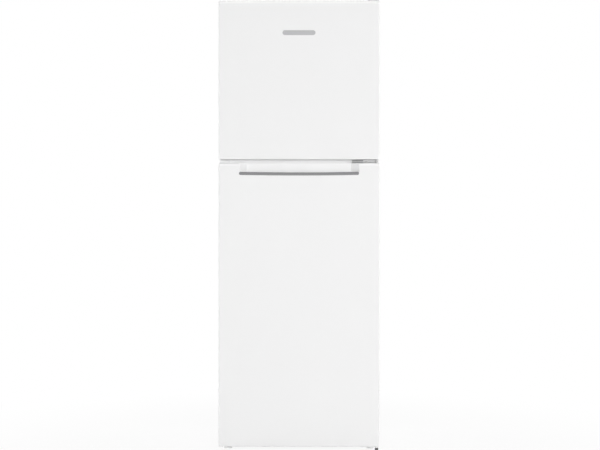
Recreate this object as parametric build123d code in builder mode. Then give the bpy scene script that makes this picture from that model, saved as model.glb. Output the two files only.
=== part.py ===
"""Top freezer refrigerator with two doors hung on the right.

Millimetres. X points right for someone facing the doors, Y points to the back, Z points up.
The floor is Z = 0 and the origin is the middle of the footprint.
"""
import os
from math import hypot

from build123d import *

os.makedirs("parts", exist_ok=True)

# Cabinet
body_width = 545.0
body_depth = 470.0
base_height = 24.5
sheet = 0.8
pan_sheet = 1.0
front_flange = 36.0
mullion_height = 62.0
mullion_return = 12.0

# How far a cut runs past the face it opens, and how near counts as on a face
overcut = 1.0
near = 1.0

# Insulated walls, from the outer face to the inner face
side_wall = 44.0
freezer_side_wall = 56.0
back_wall = 52.0
freezer_back_wall = 64.0
top_wall = 60.0
floor_wall = 46.0
divider = 68.0
bay_wall = 38.0
liner_sheet = 1.6
liner_radius = 12.0

# Compressor bay
bay_depth = 175.0
bay_shelf_depth = 110.0
bay_knee = 90.0
bay_height = 235.0

# Doors
door_thickness = 52.0
seal_gap = 11.0
fridge_door_height = 960.0
freezer_door_height = 537.0
door_gap = 12.0
door_edge_radius = 6.0
cap_lip = 10.0
cap_plug = 10.0
cap_edge_radius = 4.0
cap_fit = 0.2
hem = 14.0
door_liner_margin = 3.0

# Door seals
seal_side_inset = 16.0
seal_end_inset = 8.0
seal_width = 17.0
seal_neck = 7.0
seal_base_height = 3.0
seal_magnet_height = 4.0
seal_fit = 0.3

# Raised rim on the inner side of each door
dyke_height = 36.0
dyke_width = 24.0
dyke_clearance = 13.0
dyke_radius = 7.0
dyke_skin = 3.2

# Door bins
bin_depth = 88.0
bin_wall = 2.0
bin_bulge = 9.0
bin_corner = 16.0
bin_end_gap = 9.0
bin_fit = 0.4
bin_standoff = 1.0
lug_depth = 22.0
lug_height = 12.0
hook_height = 9.0
bin_floor_radius = 4.0
fridge_bin_height = 82.0
bottle_bin_height = 118.0
freezer_bin_height = 78.0
upper_bin_rise = 620.0
middle_bin_rise = 350.0
bottle_bin_rise = 6.0
freezer_upper_bin_rise = 200.0
freezer_lower_bin_rise = 6.0

# Finger grip between the doors
grip_width = 406.0
grip_flare = 26.0
grip_drop = 30.0
grip_depth = 27.0
grip_pocket = 20.0
grip_lip = 7.0
grip_wall = 2.5
grip_bow = 2.0
grip_floor_radius = 3.5
trim_height = 10.5
trim_thickness = 2.4
trim_fit = 0.1
scoop_height = 16.0
scoop_lip = 9.0

# Shallow seat for a plate on the freezer door
plate_seat_width = 112.0
plate_seat_height = 17.0
plate_seat_depth = 0.5
plate_seat_drop = 108.5

# Hinges
hinge_inset = 9.0
hinge_setback = 26.0
hinge_clearance = 3.5
hinge_plate = 3.0
hinge_nose = 6.0
pin_diameter = 7.0
pin_reach = 15.0
pin_head_rim = 2.0
running_clearance = 0.05
top_hinge_width = 30.0
top_hinge_length = 74.0
top_screw_setback = 22.0
top_screw_end = 16.0
top_screw_inset = 8.4
hinge_cover_fit = 0.6
hinge_cover_height = 16.0
hinge_cover_wall = 2.0
hinge_cover_corner = 4.0
hinge_cover_edge = 3.0
hinge_cover_gap = 1.0
hinge_cover_setback = 0.5
middle_hinge_width = 82.0
middle_hinge_flange = 23.0
middle_flange_width = 38.0
middle_arm_depth = 14.0
middle_arm_drop = 1.5
middle_screw_rise = 6.0
middle_screw_near = 53.0
middle_screw_far = 73.0
bottom_hinge_width = 63.0
bottom_hinge_length = 60.0
bottom_screw_setback = 17.0
bottom_screw_end = 15.5
bottom_screw_inset = 28.5
bolt_head = 10.0
bolt_head_height = 10.0

# Screws
screw_diameter = 5.0
screw_head_diameter = 10.0
screw_head_height = 3.0
screw_length = 14.0
screw_tip_gap = 1.0

# Feet and rollers
foot_inset = 25.0
foot_setback = 88.0
foot_diameter = 29.0
foot_bevel = 2.0
foot_pad_height = 9.2
foot_shoulder = 13.2
foot_neck = 16.0
foot_stem = 10.0
foot_stem_length = 20.0
foot_seat = 0.4
roller_diameter = 34.0
roller_width = 16.0
roller_inset = 45.0
roller_setback = 40.0
roller_axle = 6.0
roller_gap = 0.4
roller_edge = 1.6
roller_ear = 2.0
roller_ear_width = 18.0
roller_ear_drop = 6.0

# Fridge shelves
shelf_glass = 4.0
shelf_side_gap = 3.0
shelf_setback = 100.0
shelf_back_gap = 4.0
shelf_trim_depth = 16.0
shelf_trim_wrap = 3.0
shelf_trim_grip = 9.0
rib_depth = 9.0
rib_height = 10.0
upper_shelf_rise = 438.0
lower_shelf_rise = 218.0

# Crisper drawer
crisper_wall = 2.5
crisper_side_gap = 4.0
crisper_clearance = 6.0
crisper_lift = 0.3
crisper_cover_gap = 8.0
crisper_travel = 30.0
crisper_pull = 12.0
crisper_pull_width = 190.0
crisper_pull_height = 14.0
crisper_bin_gap = 4.0

# Thermostat and lamp box under the fridge ceiling
control_width = 190.0
control_length = 128.0
control_height = 40.0
control_wall = 2.0
control_corner = 6.0
control_edge = 3.0
control_setback = 96.0
control_knob_offset = 55.0
knob_diameter = 32.0
knob_length = 13.0
knob_gap = 0.5
knob_edge = 1.5
knob_bar = 6.0
knob_bar_length = 27.0
shaft_diameter = 6.0
shaft_hole = 8.0
shaft_length = 12.0
thermostat_width = 44.0
thermostat_length = 30.0
thermostat_height = 26.0
lens_width = 84.0
lens_length = 70.0
lens_sheet = 2.0
lens_ledge = 3.0
lens_margin = 12.0
lens_fit = 0.2

# Freezer shelf
freezer_shelf_rise = 222.0
shelf_bar = 6.0
shelf_wire = 3.0
shelf_wire_sink = 0.6
shelf_wire_count = 19
freezer_rib_depth = 8.0
freezer_shelf_fit = 2.0

# Evaporator plates inside the walls
evaporator_sheet = 2.0
evaporator_margin = 24.0
fridge_evaporator_height = 330.0

# Compressor and its deck
deck_sheet = 1.5
deck_flange = 18.0
deck_gap = 8.0
deck_clearance = 2.0
compressor_offset = 30.0
compressor_setback = 88.0
compressor_half_length = 78.0
compressor_half_width = 62.0
compressor_height = 150.0
compressor_lift = 8.0
compressor_seam = 6.0
compressor_seam_height = 7.0
compressor_seam_rise = 67.5
compressor_dome = 34.0
compressor_heel = 17.0
compressor_foot_length = 196.0
compressor_foot_width = 118.0
compressor_foot_sheet = 3.0
compressor_hole_x = 84.0
compressor_hole_y = 46.0
grommet_diameter = 22.0
grommet_height = 14.0
compressor_bolt = 8.0
compressor_bolt_head = 13.0
compressor_bolt_head_height = 5.0
stub_diameter = 10.0
stub_length = 14.0
discharge_rise = 52.5
discharge_shift = 21.7
suction_rise = 93.0
suction_shift = 6.2
terminal_width = 34.0
terminal_height = 44.0
terminal_rise = 50.0
terminal_depth = 10.0
relay_width = 54.0
relay_height = 66.0
relay_depth = 40.0
relay_wall = 2.0
relay_corner = 4.0

# Evaporation tray and drain
tray_length = 150.0
tray_width = 84.0
tray_height = 30.0
tray_wall = 1.6
tray_corner = 8.0
tray_shift = 10.0
drain_diameter = 14.0
drain_bore = 10.0
drain_setback = 12.0
drain_drop = 18.0

# Condenser on the back
tube_diameter = 5.0
wire_diameter = 1.6
wire_gap = 0.05
condenser_standoff = 30.0
condenser_runs = 19
condenser_bottom_gap = 42.0
condenser_top_gap = 90.0
condenser_half = 202.0
condenser_riser = 226.0
condenser_bend_slack = 1.0
wire_count = 36
wire_overhang = 14.0
clip_width = 7.0
clip_height = 16.0
clip_wall = 1.5
clip_gap_index = 3
tail_drop = 26.0
tail_setback = 40.0
tail_bend = 12.0

# Tubes in the compressor bay
suction_diameter = 7.0
suction_run = 28.0
suction_bend = 14.0
capillary_diameter = 2.4
drier_diameter = 18.0
drier_length = 84.0
drier_neck = 10.0
drier_tip = 5.0
drier_entry = 24.0
capillary_drop = 22.0
capillary_run = 56.0
gland_inset = 108.0
gland_diameter = 13.0
gland_neck = 9.6
gland_bore = 6.4
gland_rim = 3.0
gland_fit = 0.4

# Planes shared by every piece
condenser_space = condenser_standoff + tube_diameter / 2 + wire_gap + wire_diameter
overall_depth = door_thickness + seal_gap + body_depth + condenser_space
half = body_width / 2
front_y = -overall_depth / 2
door_back_y = front_y + door_thickness
face_y = door_back_y + seal_gap
back_y = face_y + body_depth
condenser_y = back_y + condenser_standoff

fridge_door_bottom_z = base_height + hinge_clearance
fridge_door_top_z = fridge_door_bottom_z + fridge_door_height
freezer_door_bottom_z = fridge_door_top_z + door_gap
freezer_door_top_z = freezer_door_bottom_z + freezer_door_height
body_top_z = freezer_door_top_z + hinge_clearance
gap_middle_z = (fridge_door_top_z + freezer_door_bottom_z) / 2
mullion_bottom_z = gap_middle_z - mullion_height / 2
mullion_top_z = gap_middle_z + mullion_height / 2

axis_x = half - hinge_inset
axis_y = front_y + hinge_setback
pin_radius = pin_diameter / 2
bore_radius = pin_radius + running_clearance

fridge_half = half - side_wall
fridge_back_y = back_y - back_wall
fridge_floor_z = base_height + floor_wall
fridge_ceiling_z = gap_middle_z - divider / 2
freezer_half = half - freezer_side_wall
freezer_back_y = back_y - freezer_back_wall
freezer_floor_z = gap_middle_z + divider / 2
freezer_ceiling_z = body_top_z - top_wall
lip_half = half - front_flange

bay_front_y = back_y - bay_depth
bay_shelf_y = back_y - bay_shelf_depth
bay_knee_z = base_height + bay_knee
bay_top_z = base_height + bay_height
step_top_z = bay_top_z + bay_wall

shelf_front_y = face_y + shelf_setback
bin_back_y = door_back_y + bin_depth
door_liner_y = door_back_y - liner_sheet
hem_y = door_liner_y - sheet


def block(x, y, z, mode=Mode.ADD):
    """Put a block between two X planes, two Y planes and two Z planes."""
    with Locations(((x[0] + x[1]) / 2, (y[0] + y[1]) / 2, (z[0] + z[1]) / 2)):
        Box(x[1] - x[0], y[1] - y[0], z[1] - z[0], mode=mode)


def area(u, v, mode=Mode.ADD):
    """Put a rectangle between two lines each way on the sketch being drawn."""
    with Locations(((u[0] + u[1]) / 2, (v[0] + v[1]) / 2)):
        Rectangle(u[1] - u[0], v[1] - v[0], mode=mode)


def post(x, y, z, radius, mode=Mode.ADD):
    """Put an upright cylinder at X and Y between two heights."""
    with Locations((x, y, (z[0] + z[1]) / 2)):
        Cylinder(radius, z[1] - z[0], mode=mode)


def rod_x(x, y, z, radius, mode=Mode.ADD):
    """Put a cylinder along X between two X planes."""
    with Locations(Location(((x[0] + x[1]) / 2, y, z), (0, 90, 0))):
        Cylinder(radius, x[1] - x[0], mode=mode)


def rod_y(x, y, z, radius, mode=Mode.ADD):
    """Put a cylinder along Y between two Y planes."""
    with Locations(Location((x, (y[0] + y[1]) / 2, z), (90, 0, 0))):
        Cylinder(radius, y[1] - y[0], mode=mode)


def bay_outline(grow):
    """Side view of the compressor bay as Y and Z points, grown by a wall thickness."""
    run = bay_shelf_y - bay_front_y
    rise = bay_top_z - bay_knee_z
    slope = hypot(run, rise)
    slope_y = bay_front_y - grow * rise / slope
    slope_z = bay_knee_z + grow * run / slope
    wall_y = bay_front_y - grow
    roof_z = bay_top_z + grow
    knee_z = slope_z + (wall_y - slope_y) * rise / run
    roof_y = slope_y + (roof_z - slope_z) * run / rise
    low_z = -base_height
    far_y = back_y + condenser_space
    return [(wall_y, low_z), (wall_y, knee_z), (roof_y, roof_z), (far_y, roof_z), (far_y, low_z)]


def save(builder, name):
    """Name a finished piece and write its file."""
    builder.part.label = name
    export_step(builder.part, f"parts/{name}.step")


# Side panels with their front flanges
for side, sign in (("left", -1), ("right", 1)):
    side_x = sorted((sign * half, sign * (half - sheet)))
    flange_x = sorted((sign * half, sign * lip_half))
    with BuildPart() as side_panel:
        block(side_x, (face_y, back_y), (base_height, body_top_z - sheet))
        block(flange_x, (face_y, face_y + sheet), (base_height, body_top_z - sheet))
    save(side_panel, f"{side}_side_panel")

# Screws that hold the hinges, used for the holes under them too
top_screw_y = [face_y + top_screw_setback, face_y + top_hinge_length - top_screw_end]
top_screw_x = axis_x - top_screw_inset
bottom_screw_y = [face_y + bottom_screw_setback, face_y + bottom_hinge_length - bottom_screw_end]
bottom_screw_x = axis_x - bottom_screw_inset
middle_screw_z = gap_middle_z + middle_screw_rise
middle_screw_x = [axis_x - middle_screw_far, axis_x - middle_screw_near]
screw_radius = screw_diameter / 2
screw_bore = screw_radius + running_clearance

# Top panel
with BuildPart() as top_panel:
    block((-half, half), (face_y, back_y), (body_top_z - sheet, body_top_z))
    block((-lip_half, lip_half), (face_y, face_y + sheet), (body_top_z - front_flange, body_top_z))
    top_cut_z = (body_top_z - sheet - overcut, body_top_z + overcut)
    for y in top_screw_y:
        post(top_screw_x, y, top_cut_z, screw_bore, Mode.SUBTRACT)
save(top_panel, "top_panel")

# Back panel above the compressor bay
with BuildPart() as back_panel:
    block(
        (-half + sheet, half - sheet),
        (back_y - sheet, back_y),
        (bay_top_z, body_top_z - sheet),
    )
save(back_panel, "back_panel")

# Places of the feet and of the drain
foot_x = half - foot_inset
foot_y = face_y + foot_setback
stem_bore = foot_stem / 2 + running_clearance
compressor_x = -compressor_offset
compressor_y = back_y - compressor_setback
drain_x = compressor_x
drain_y = fridge_back_y - drain_setback
drain_radius = drain_diameter / 2
drain_hole = drain_radius + running_clearance

# Base pan, bent round the compressor bay
pan_front_y = face_y + sheet
pan_back_y = back_y - sheet
outer_bay = bay_outline(0)
inner_bay = bay_outline(pan_sheet)
pan_lower = [
    (pan_front_y, base_height),
    (outer_bay[0][0], base_height),
    outer_bay[1],
    outer_bay[2],
    (pan_back_y, outer_bay[2][1]),
]
pan_upper = [
    (pan_front_y, base_height + pan_sheet),
    (inner_bay[0][0], base_height + pan_sheet),
    inner_bay[1],
    inner_bay[2],
    (pan_back_y, inner_bay[2][1]),
]
with BuildPart() as base_pan:
    with BuildSketch(Plane.YZ):
        Polygon(*pan_lower, *reversed(pan_upper), align=None)
    extrude(amount=half - sheet, both=True)
    block((-lip_half, lip_half), (face_y, pan_front_y + pan_sheet), (base_height, base_height + pan_sheet))
    block((-lip_half, lip_half), (face_y, face_y + pan_sheet), (base_height, base_height + front_flange))
    pan_cut_z = (base_height - overcut, base_height + pan_sheet + overcut)
    for x in (-foot_x, foot_x):
        post(x, foot_y, pan_cut_z, stem_bore, Mode.SUBTRACT)
    post(drain_x, drain_y, (bay_top_z - overcut, step_top_z), drain_hole, Mode.SUBTRACT)
    for y in bottom_screw_y:
        post(bottom_screw_x, y, pan_cut_z, screw_bore, Mode.SUBTRACT)
save(base_pan, "base_pan")

# Mullion rail between the two compartments
with BuildPart() as mullion_rail:
    block((-lip_half, lip_half), (face_y, face_y + pan_sheet), (mullion_bottom_z, mullion_top_z))
    for edge_z in (mullion_bottom_z, mullion_top_z - pan_sheet):
        block((-lip_half, lip_half), (face_y, face_y + mullion_return), (edge_z, edge_z + pan_sheet))
    rail_cut_y = (face_y - overcut, face_y + pan_sheet + overcut)
    for x in middle_screw_x:
        rod_y(x, rail_cut_y, middle_screw_z, screw_bore, Mode.SUBTRACT)
save(mullion_rail, "mullion_rail")

# Space inside the fridge, with rounded corners
with BuildPart() as fridge_space:
    with BuildSketch(Plane.YZ):
        area((face_y - sheet, fridge_back_y), (fridge_floor_z, fridge_ceiling_z))
        Polygon(*bay_outline(bay_wall), align=None, mode=Mode.SUBTRACT)
    extrude(amount=fridge_half, both=True)
    fillet([e for e in fridge_space.edges() if e.center().Y > face_y], liner_radius)

# Outside of the fridge liner with its front lip
with BuildPart() as fridge_envelope:
    with BuildSketch(Plane.YZ):
        area(
            (face_y, fridge_back_y + liner_sheet),
            (fridge_floor_z - liner_sheet, fridge_ceiling_z + liner_sheet),
        )
        Polygon(*bay_outline(bay_wall - liner_sheet), align=None, mode=Mode.SUBTRACT)
    extrude(amount=fridge_half + liner_sheet, both=True)
    block(
        (-lip_half, lip_half),
        (face_y, face_y + liner_sheet),
        (base_height + front_flange, mullion_bottom_z),
    )

# Fridge liner with the ledges that carry the shelves
upper_shelf_z = step_top_z + upper_shelf_rise
lower_shelf_z = step_top_z + lower_shelf_rise
crisper_cover_z = step_top_z + liner_radius
rib_front_y = shelf_front_y + shelf_trim_grip + shelf_trim_wrap
with BuildPart() as fridge_liner:
    add(fridge_envelope.part)
    add(fridge_space.part, mode=Mode.SUBTRACT)
    for rib_z in (upper_shelf_z, lower_shelf_z, crisper_cover_z):
        for sign in (-1, 1):
            rib_x = sorted((sign * (fridge_half + liner_sheet / 2), sign * (fridge_half - rib_depth)))
            block(rib_x, (rib_front_y, fridge_back_y), (rib_z - rib_height, rib_z))
    post(drain_x, drain_y, (bay_top_z, step_top_z + rib_height), drain_bore / 2, Mode.SUBTRACT)
save(fridge_liner, "fridge_liner")

# Space inside the freezer
with BuildPart() as freezer_space:
    block(
        (-freezer_half, freezer_half),
        (face_y - sheet, freezer_back_y),
        (freezer_floor_z, freezer_ceiling_z),
    )
    fillet([e for e in freezer_space.edges() if e.center().Y > face_y], liner_radius)

# Outside of the freezer liner with its front lip
with BuildPart() as freezer_envelope:
    block(
        (-freezer_half - liner_sheet, freezer_half + liner_sheet),
        (face_y, freezer_back_y + liner_sheet),
        (freezer_floor_z - liner_sheet, freezer_ceiling_z + liner_sheet),
    )
    block(
        (-lip_half, lip_half),
        (face_y, face_y + liner_sheet),
        (mullion_top_z, body_top_z - front_flange),
    )

# Freezer liner with the ledges that carry the wire shelf
freezer_shelf_z = freezer_floor_z + freezer_shelf_rise
with BuildPart() as freezer_liner:
    add(freezer_envelope.part)
    add(freezer_space.part, mode=Mode.SUBTRACT)
    for sign in (-1, 1):
        rib_x = sorted(
            (sign * (freezer_half + liner_sheet / 2), sign * (freezer_half - freezer_rib_depth))
        )
        block(
            rib_x,
            (shelf_front_y - shelf_bar, freezer_back_y),
            (freezer_shelf_z - rib_height, freezer_shelf_z),
        )
save(freezer_liner, "freezer_liner")

# Evaporator plates against the backs of the two liners
with BuildPart() as evaporator:
    block(
        (-freezer_half + evaporator_margin, freezer_half - evaporator_margin),
        (freezer_back_y + liner_sheet, freezer_back_y + liner_sheet + evaporator_sheet),
        (freezer_floor_z + evaporator_margin, freezer_ceiling_z - evaporator_margin),
    )
    block(
        (-fridge_half + evaporator_margin, fridge_half - evaporator_margin),
        (fridge_back_y + liner_sheet, fridge_back_y + liner_sheet + evaporator_sheet),
        (
            fridge_ceiling_z - evaporator_margin - fridge_evaporator_height,
            fridge_ceiling_z - evaporator_margin,
        ),
    )
save(evaporator, "evaporator")

# Foam that fills the cabinet walls
with BuildPart() as cabinet_foam:
    block(
        (-half + sheet, half - sheet),
        (face_y + liner_sheet, back_y - sheet),
        (base_height + pan_sheet, body_top_z - sheet),
    )
    with BuildSketch(Plane.YZ):
        Polygon(*bay_outline(pan_sheet), align=None)
    extrude(amount=half, both=True, mode=Mode.SUBTRACT)
    add(fridge_envelope.part, mode=Mode.SUBTRACT)
    add(freezer_envelope.part, mode=Mode.SUBTRACT)
    add(evaporator.part, mode=Mode.SUBTRACT)
    add(mullion_rail.part, mode=Mode.SUBTRACT)
    post(drain_x, drain_y, (bay_top_z, step_top_z), drain_hole, Mode.SUBTRACT)
    for x in (-foot_x, foot_x):
        post(
            x,
            foot_y,
            (base_height, base_height + foot_stem_length + running_clearance),
            stem_bore,
            Mode.SUBTRACT,
        )
    for y in top_screw_y:
        post(top_screw_x, y, (body_top_z - screw_length, body_top_z), screw_bore, Mode.SUBTRACT)
    for y in bottom_screw_y:
        post(bottom_screw_x, y, (base_height, base_height + screw_length), screw_bore, Mode.SUBTRACT)
    for x in middle_screw_x:
        rod_y(x, (face_y, face_y + screw_length), middle_screw_z, screw_bore, Mode.SUBTRACT)
save(cabinet_foam, "cabinet_foam")

# Drain tube from the fridge liner to the evaporation tray
with BuildPart() as drain_tube:
    drain_z = (bay_top_z - drain_drop, step_top_z - liner_sheet)
    post(drain_x, drain_y, drain_z, drain_radius)
    post(drain_x, drain_y, drain_z, drain_bore / 2, Mode.SUBTRACT)
save(drain_tube, "drain_tube")

# Top hinge plate
hinge_cut_z = (body_top_z - overcut, body_top_z + hinge_plate + overcut)
with BuildPart() as top_hinge:
    with BuildSketch(Plane.XY.offset(body_top_z)):
        area(
            (axis_x + hinge_nose - top_hinge_width, axis_x + hinge_nose),
            (axis_y, face_y + top_hinge_length),
        )
        with Locations((axis_x, axis_y)):
            Circle(hinge_nose)
    extrude(amount=hinge_plate)
    post(axis_x, axis_y, hinge_cut_z, bore_radius, Mode.SUBTRACT)
    for y in top_screw_y:
        post(top_screw_x, y, hinge_cut_z, screw_bore, Mode.SUBTRACT)
save(top_hinge, "top_hinge")

# Cover over the top hinge, with a skirt down to just above the door
cover_x = (axis_x + hinge_nose - top_hinge_width - hinge_cover_fit, axis_x + hinge_nose + hinge_cover_fit)
cover_y = (axis_y - hinge_nose - hinge_cover_fit, face_y + top_hinge_length + hinge_cover_fit)
skirt_z = (freezer_door_top_z + hinge_cover_gap, body_top_z)
with BuildPart() as top_hinge_cover:
    block(
        (cover_x[0] - hinge_cover_wall, cover_x[1] + hinge_cover_wall),
        (cover_y[0] - hinge_cover_wall, cover_y[1] + hinge_cover_wall),
        (body_top_z, body_top_z + hinge_cover_height),
    )
    fillet(top_hinge_cover.edges().filter_by(Axis.Z), hinge_cover_corner)
    fillet(top_hinge_cover.faces().sort_by(Axis.Z)[-1].edges(), hinge_cover_edge)
    extrude(top_hinge_cover.faces().sort_by(Axis.Z)[0], amount=skirt_z[1] - skirt_z[0])
    block((0, half), (face_y - hinge_cover_setback, back_y), skirt_z, Mode.SUBTRACT)
    block(cover_x, cover_y, (skirt_z[0], body_top_z + hinge_cover_height - hinge_cover_wall), Mode.SUBTRACT)
save(top_hinge_cover, "top_hinge_cover")

# Middle hinge: a flange on the mullion and an arm in the gap between the doors
arm_middle_z = gap_middle_z - middle_arm_drop
arm_z = (arm_middle_z - hinge_plate / 2, arm_middle_z + hinge_plate / 2)
flange_y = (face_y - hinge_plate, face_y)
flange_z = (gap_middle_z - middle_hinge_flange / 2, gap_middle_z + middle_hinge_flange / 2)
middle_x = (axis_x - middle_hinge_width, axis_x + hinge_nose)
flange_x = (middle_x[0], middle_x[0] + middle_flange_width)
with BuildPart() as middle_hinge:
    with BuildSketch(Plane.XY.offset(arm_z[0])):
        area(flange_x, (axis_y, face_y))
        area(middle_x, (axis_y, axis_y + middle_arm_depth))
        with Locations((axis_x, axis_y)):
            Circle(hinge_nose)
    extrude(amount=hinge_plate)
    block(flange_x, flange_y, flange_z)
    post(axis_x, axis_y, (arm_z[0] - overcut, arm_z[1] + overcut), bore_radius, Mode.SUBTRACT)
    for x in middle_screw_x:
        rod_y(x, (flange_y[0] - overcut, flange_y[1] + overcut), middle_screw_z, screw_bore, Mode.SUBTRACT)
save(middle_hinge, "middle_hinge")

# Bottom hinge plate under the base pan
bottom_plate_z = (base_height - hinge_plate, base_height)
bottom_cut_z = (bottom_plate_z[0] - overcut, base_height + overcut)
with BuildPart() as bottom_hinge:
    with BuildSketch(Plane.XY.offset(bottom_plate_z[0])):
        area(
            (axis_x + hinge_nose - bottom_hinge_width, axis_x + hinge_nose),
            (axis_y, face_y + bottom_hinge_length),
        )
        with Locations((axis_x, axis_y)):
            Circle(hinge_nose)
    extrude(amount=hinge_plate)
    post(axis_x, axis_y, bottom_cut_z, bore_radius, Mode.SUBTRACT)
    for y in bottom_screw_y:
        post(bottom_screw_x, y, bottom_cut_z, screw_bore, Mode.SUBTRACT)
save(bottom_hinge, "bottom_hinge")

# Hinge pins: one through each hinge, the lowest one a bolt
with BuildPart() as hinge_pins:
    pin_top_z = body_top_z + hinge_plate
    post(axis_x, axis_y, (freezer_door_top_z - pin_reach, pin_top_z), pin_radius)
    post(axis_x, axis_y, (pin_top_z, pin_top_z + screw_head_height), pin_radius + pin_head_rim)
    post(axis_x, axis_y, (fridge_door_top_z - pin_reach, freezer_door_bottom_z + pin_reach), pin_radius)
    post(axis_x, axis_y, (bottom_plate_z[0], fridge_door_bottom_z + pin_reach), pin_radius)
    with BuildSketch(Plane.XY.offset(bottom_plate_z[0])):
        with Locations((axis_x, axis_y)):
            RegularPolygon(bolt_head / 2, 6, major_radius=False)
    extrude(amount=-bolt_head_height)
save(hinge_pins, "hinge_pins")

# Front feet
for side, sign in (("left", -1), ("right", 1)):
    foot_low = base_height - foot_seat
    foot_high = base_height + foot_stem_length
    pad_radius = foot_diameter / 2
    foot_profile = [
        (0, 0),
        (pad_radius - foot_bevel, 0),
        (pad_radius, foot_bevel),
        (pad_radius, foot_pad_height),
        (foot_neck / 2, foot_shoulder),
        (foot_neck / 2, foot_low),
        (foot_stem / 2, foot_low),
        (foot_stem / 2, foot_high),
        (0, foot_high),
    ]
    foot_plane = Plane(origin=(sign * foot_x, foot_y, 0), x_dir=(1, 0, 0), z_dir=(0, -1, 0))
    with BuildPart() as front_foot:
        with BuildSketch(foot_plane):
            Polygon(*foot_profile, align=None)
        revolve(axis=Axis((sign * foot_x, foot_y, 0), (0, 0, 1)))
    save(front_foot, f"front_foot_{side}")

# Deck under the compressor, with the ears that hold the rear rollers
roller_radius = roller_diameter / 2
roller_x = half - roller_inset
roller_y = back_y - roller_setback
ear_offset = roller_width / 2 + roller_gap
deck_z = roller_diameter + deck_clearance
deck_top_z = deck_z + deck_sheet
deck_y = (bay_front_y + deck_gap, back_y - sheet)
gland_x = half - gland_inset
gland_z = deck_top_z + gland_diameter / 2 + gland_fit
with BuildPart() as compressor_deck:
    block((-half + sheet, half - sheet), deck_y, (deck_z, deck_top_z))
    for edge in (deck_y[0], deck_y[1] - deck_sheet):
        block((-half + sheet, half - sheet), (edge, edge + deck_sheet), (deck_z, deck_z + deck_flange))
    for x in (-roller_x, roller_x):
        for sign in (-1, 1):
            ear_x = sorted((x + sign * ear_offset, x + sign * (ear_offset + roller_ear)))
            block(
                ear_x,
                (roller_y - roller_ear_width / 2, roller_y + roller_ear_width / 2),
                (roller_radius - roller_ear_drop, deck_z),
            )
        rod_x(
            (x - roller_width, x + roller_width),
            roller_y,
            roller_radius,
            roller_axle / 2 + running_clearance,
            Mode.SUBTRACT,
        )
    for dx in (-compressor_hole_x, compressor_hole_x):
        for dy in (-compressor_hole_y, compressor_hole_y):
            post(
                compressor_x + dx,
                compressor_y + dy,
                (deck_z - overcut, deck_top_z + overcut),
                compressor_bolt / 2 + running_clearance,
                Mode.SUBTRACT,
            )
    rod_y(
        gland_x,
        (deck_y[1] - deck_sheet - overcut, deck_y[1] + overcut),
        gland_z,
        gland_neck / 2 + running_clearance,
        Mode.SUBTRACT,
    )
save(compressor_deck, "compressor_deck")

# Rear rollers with moulded axle stubs
for side, sign in (("left", -1), ("right", 1)):
    axle_half = ear_offset + roller_ear
    centre_x = sign * roller_x
    with BuildPart() as rear_roller:
        rod_x(
            (centre_x - roller_width / 2, centre_x + roller_width / 2),
            roller_y,
            roller_radius,
            roller_radius,
        )
        fillet(rear_roller.edges().filter_by(GeomType.CIRCLE), roller_edge)
        rod_x((centre_x - axle_half, centre_x + axle_half), roller_y, roller_radius, roller_axle / 2)
    save(rear_roller, f"rear_roller_{side}")

# Grommet for the power lead in the rear flange of the deck
with BuildPart() as lead_gland:
    inside_y = deck_y[1] - deck_sheet
    rod_y(gland_x, (inside_y - gland_rim, deck_y[1]), gland_z, gland_neck / 2)
    rod_y(gland_x, (inside_y - gland_rim, inside_y), gland_z, gland_diameter / 2)
    bore_y = (inside_y - gland_rim - overcut, deck_y[1] + overcut)
    rod_y(gland_x, bore_y, gland_z, gland_bore / 2, Mode.SUBTRACT)
save(lead_gland, "lead_gland")

# Rubber grommets under the compressor
grommet_z = (deck_top_z, deck_top_z + grommet_height)
mount_points = []
for dx in (-compressor_hole_x, compressor_hole_x):
    for dy in (-compressor_hole_y, compressor_hole_y):
        mount_points.append((compressor_x + dx, compressor_y + dy))
bolt_radius = compressor_bolt / 2
with BuildPart() as compressor_grommets:
    for x, y in mount_points:
        post(x, y, grommet_z, grommet_diameter / 2)
        post(x, y, grommet_z, bolt_radius + running_clearance, Mode.SUBTRACT)
save(compressor_grommets, "compressor_grommets")

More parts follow.
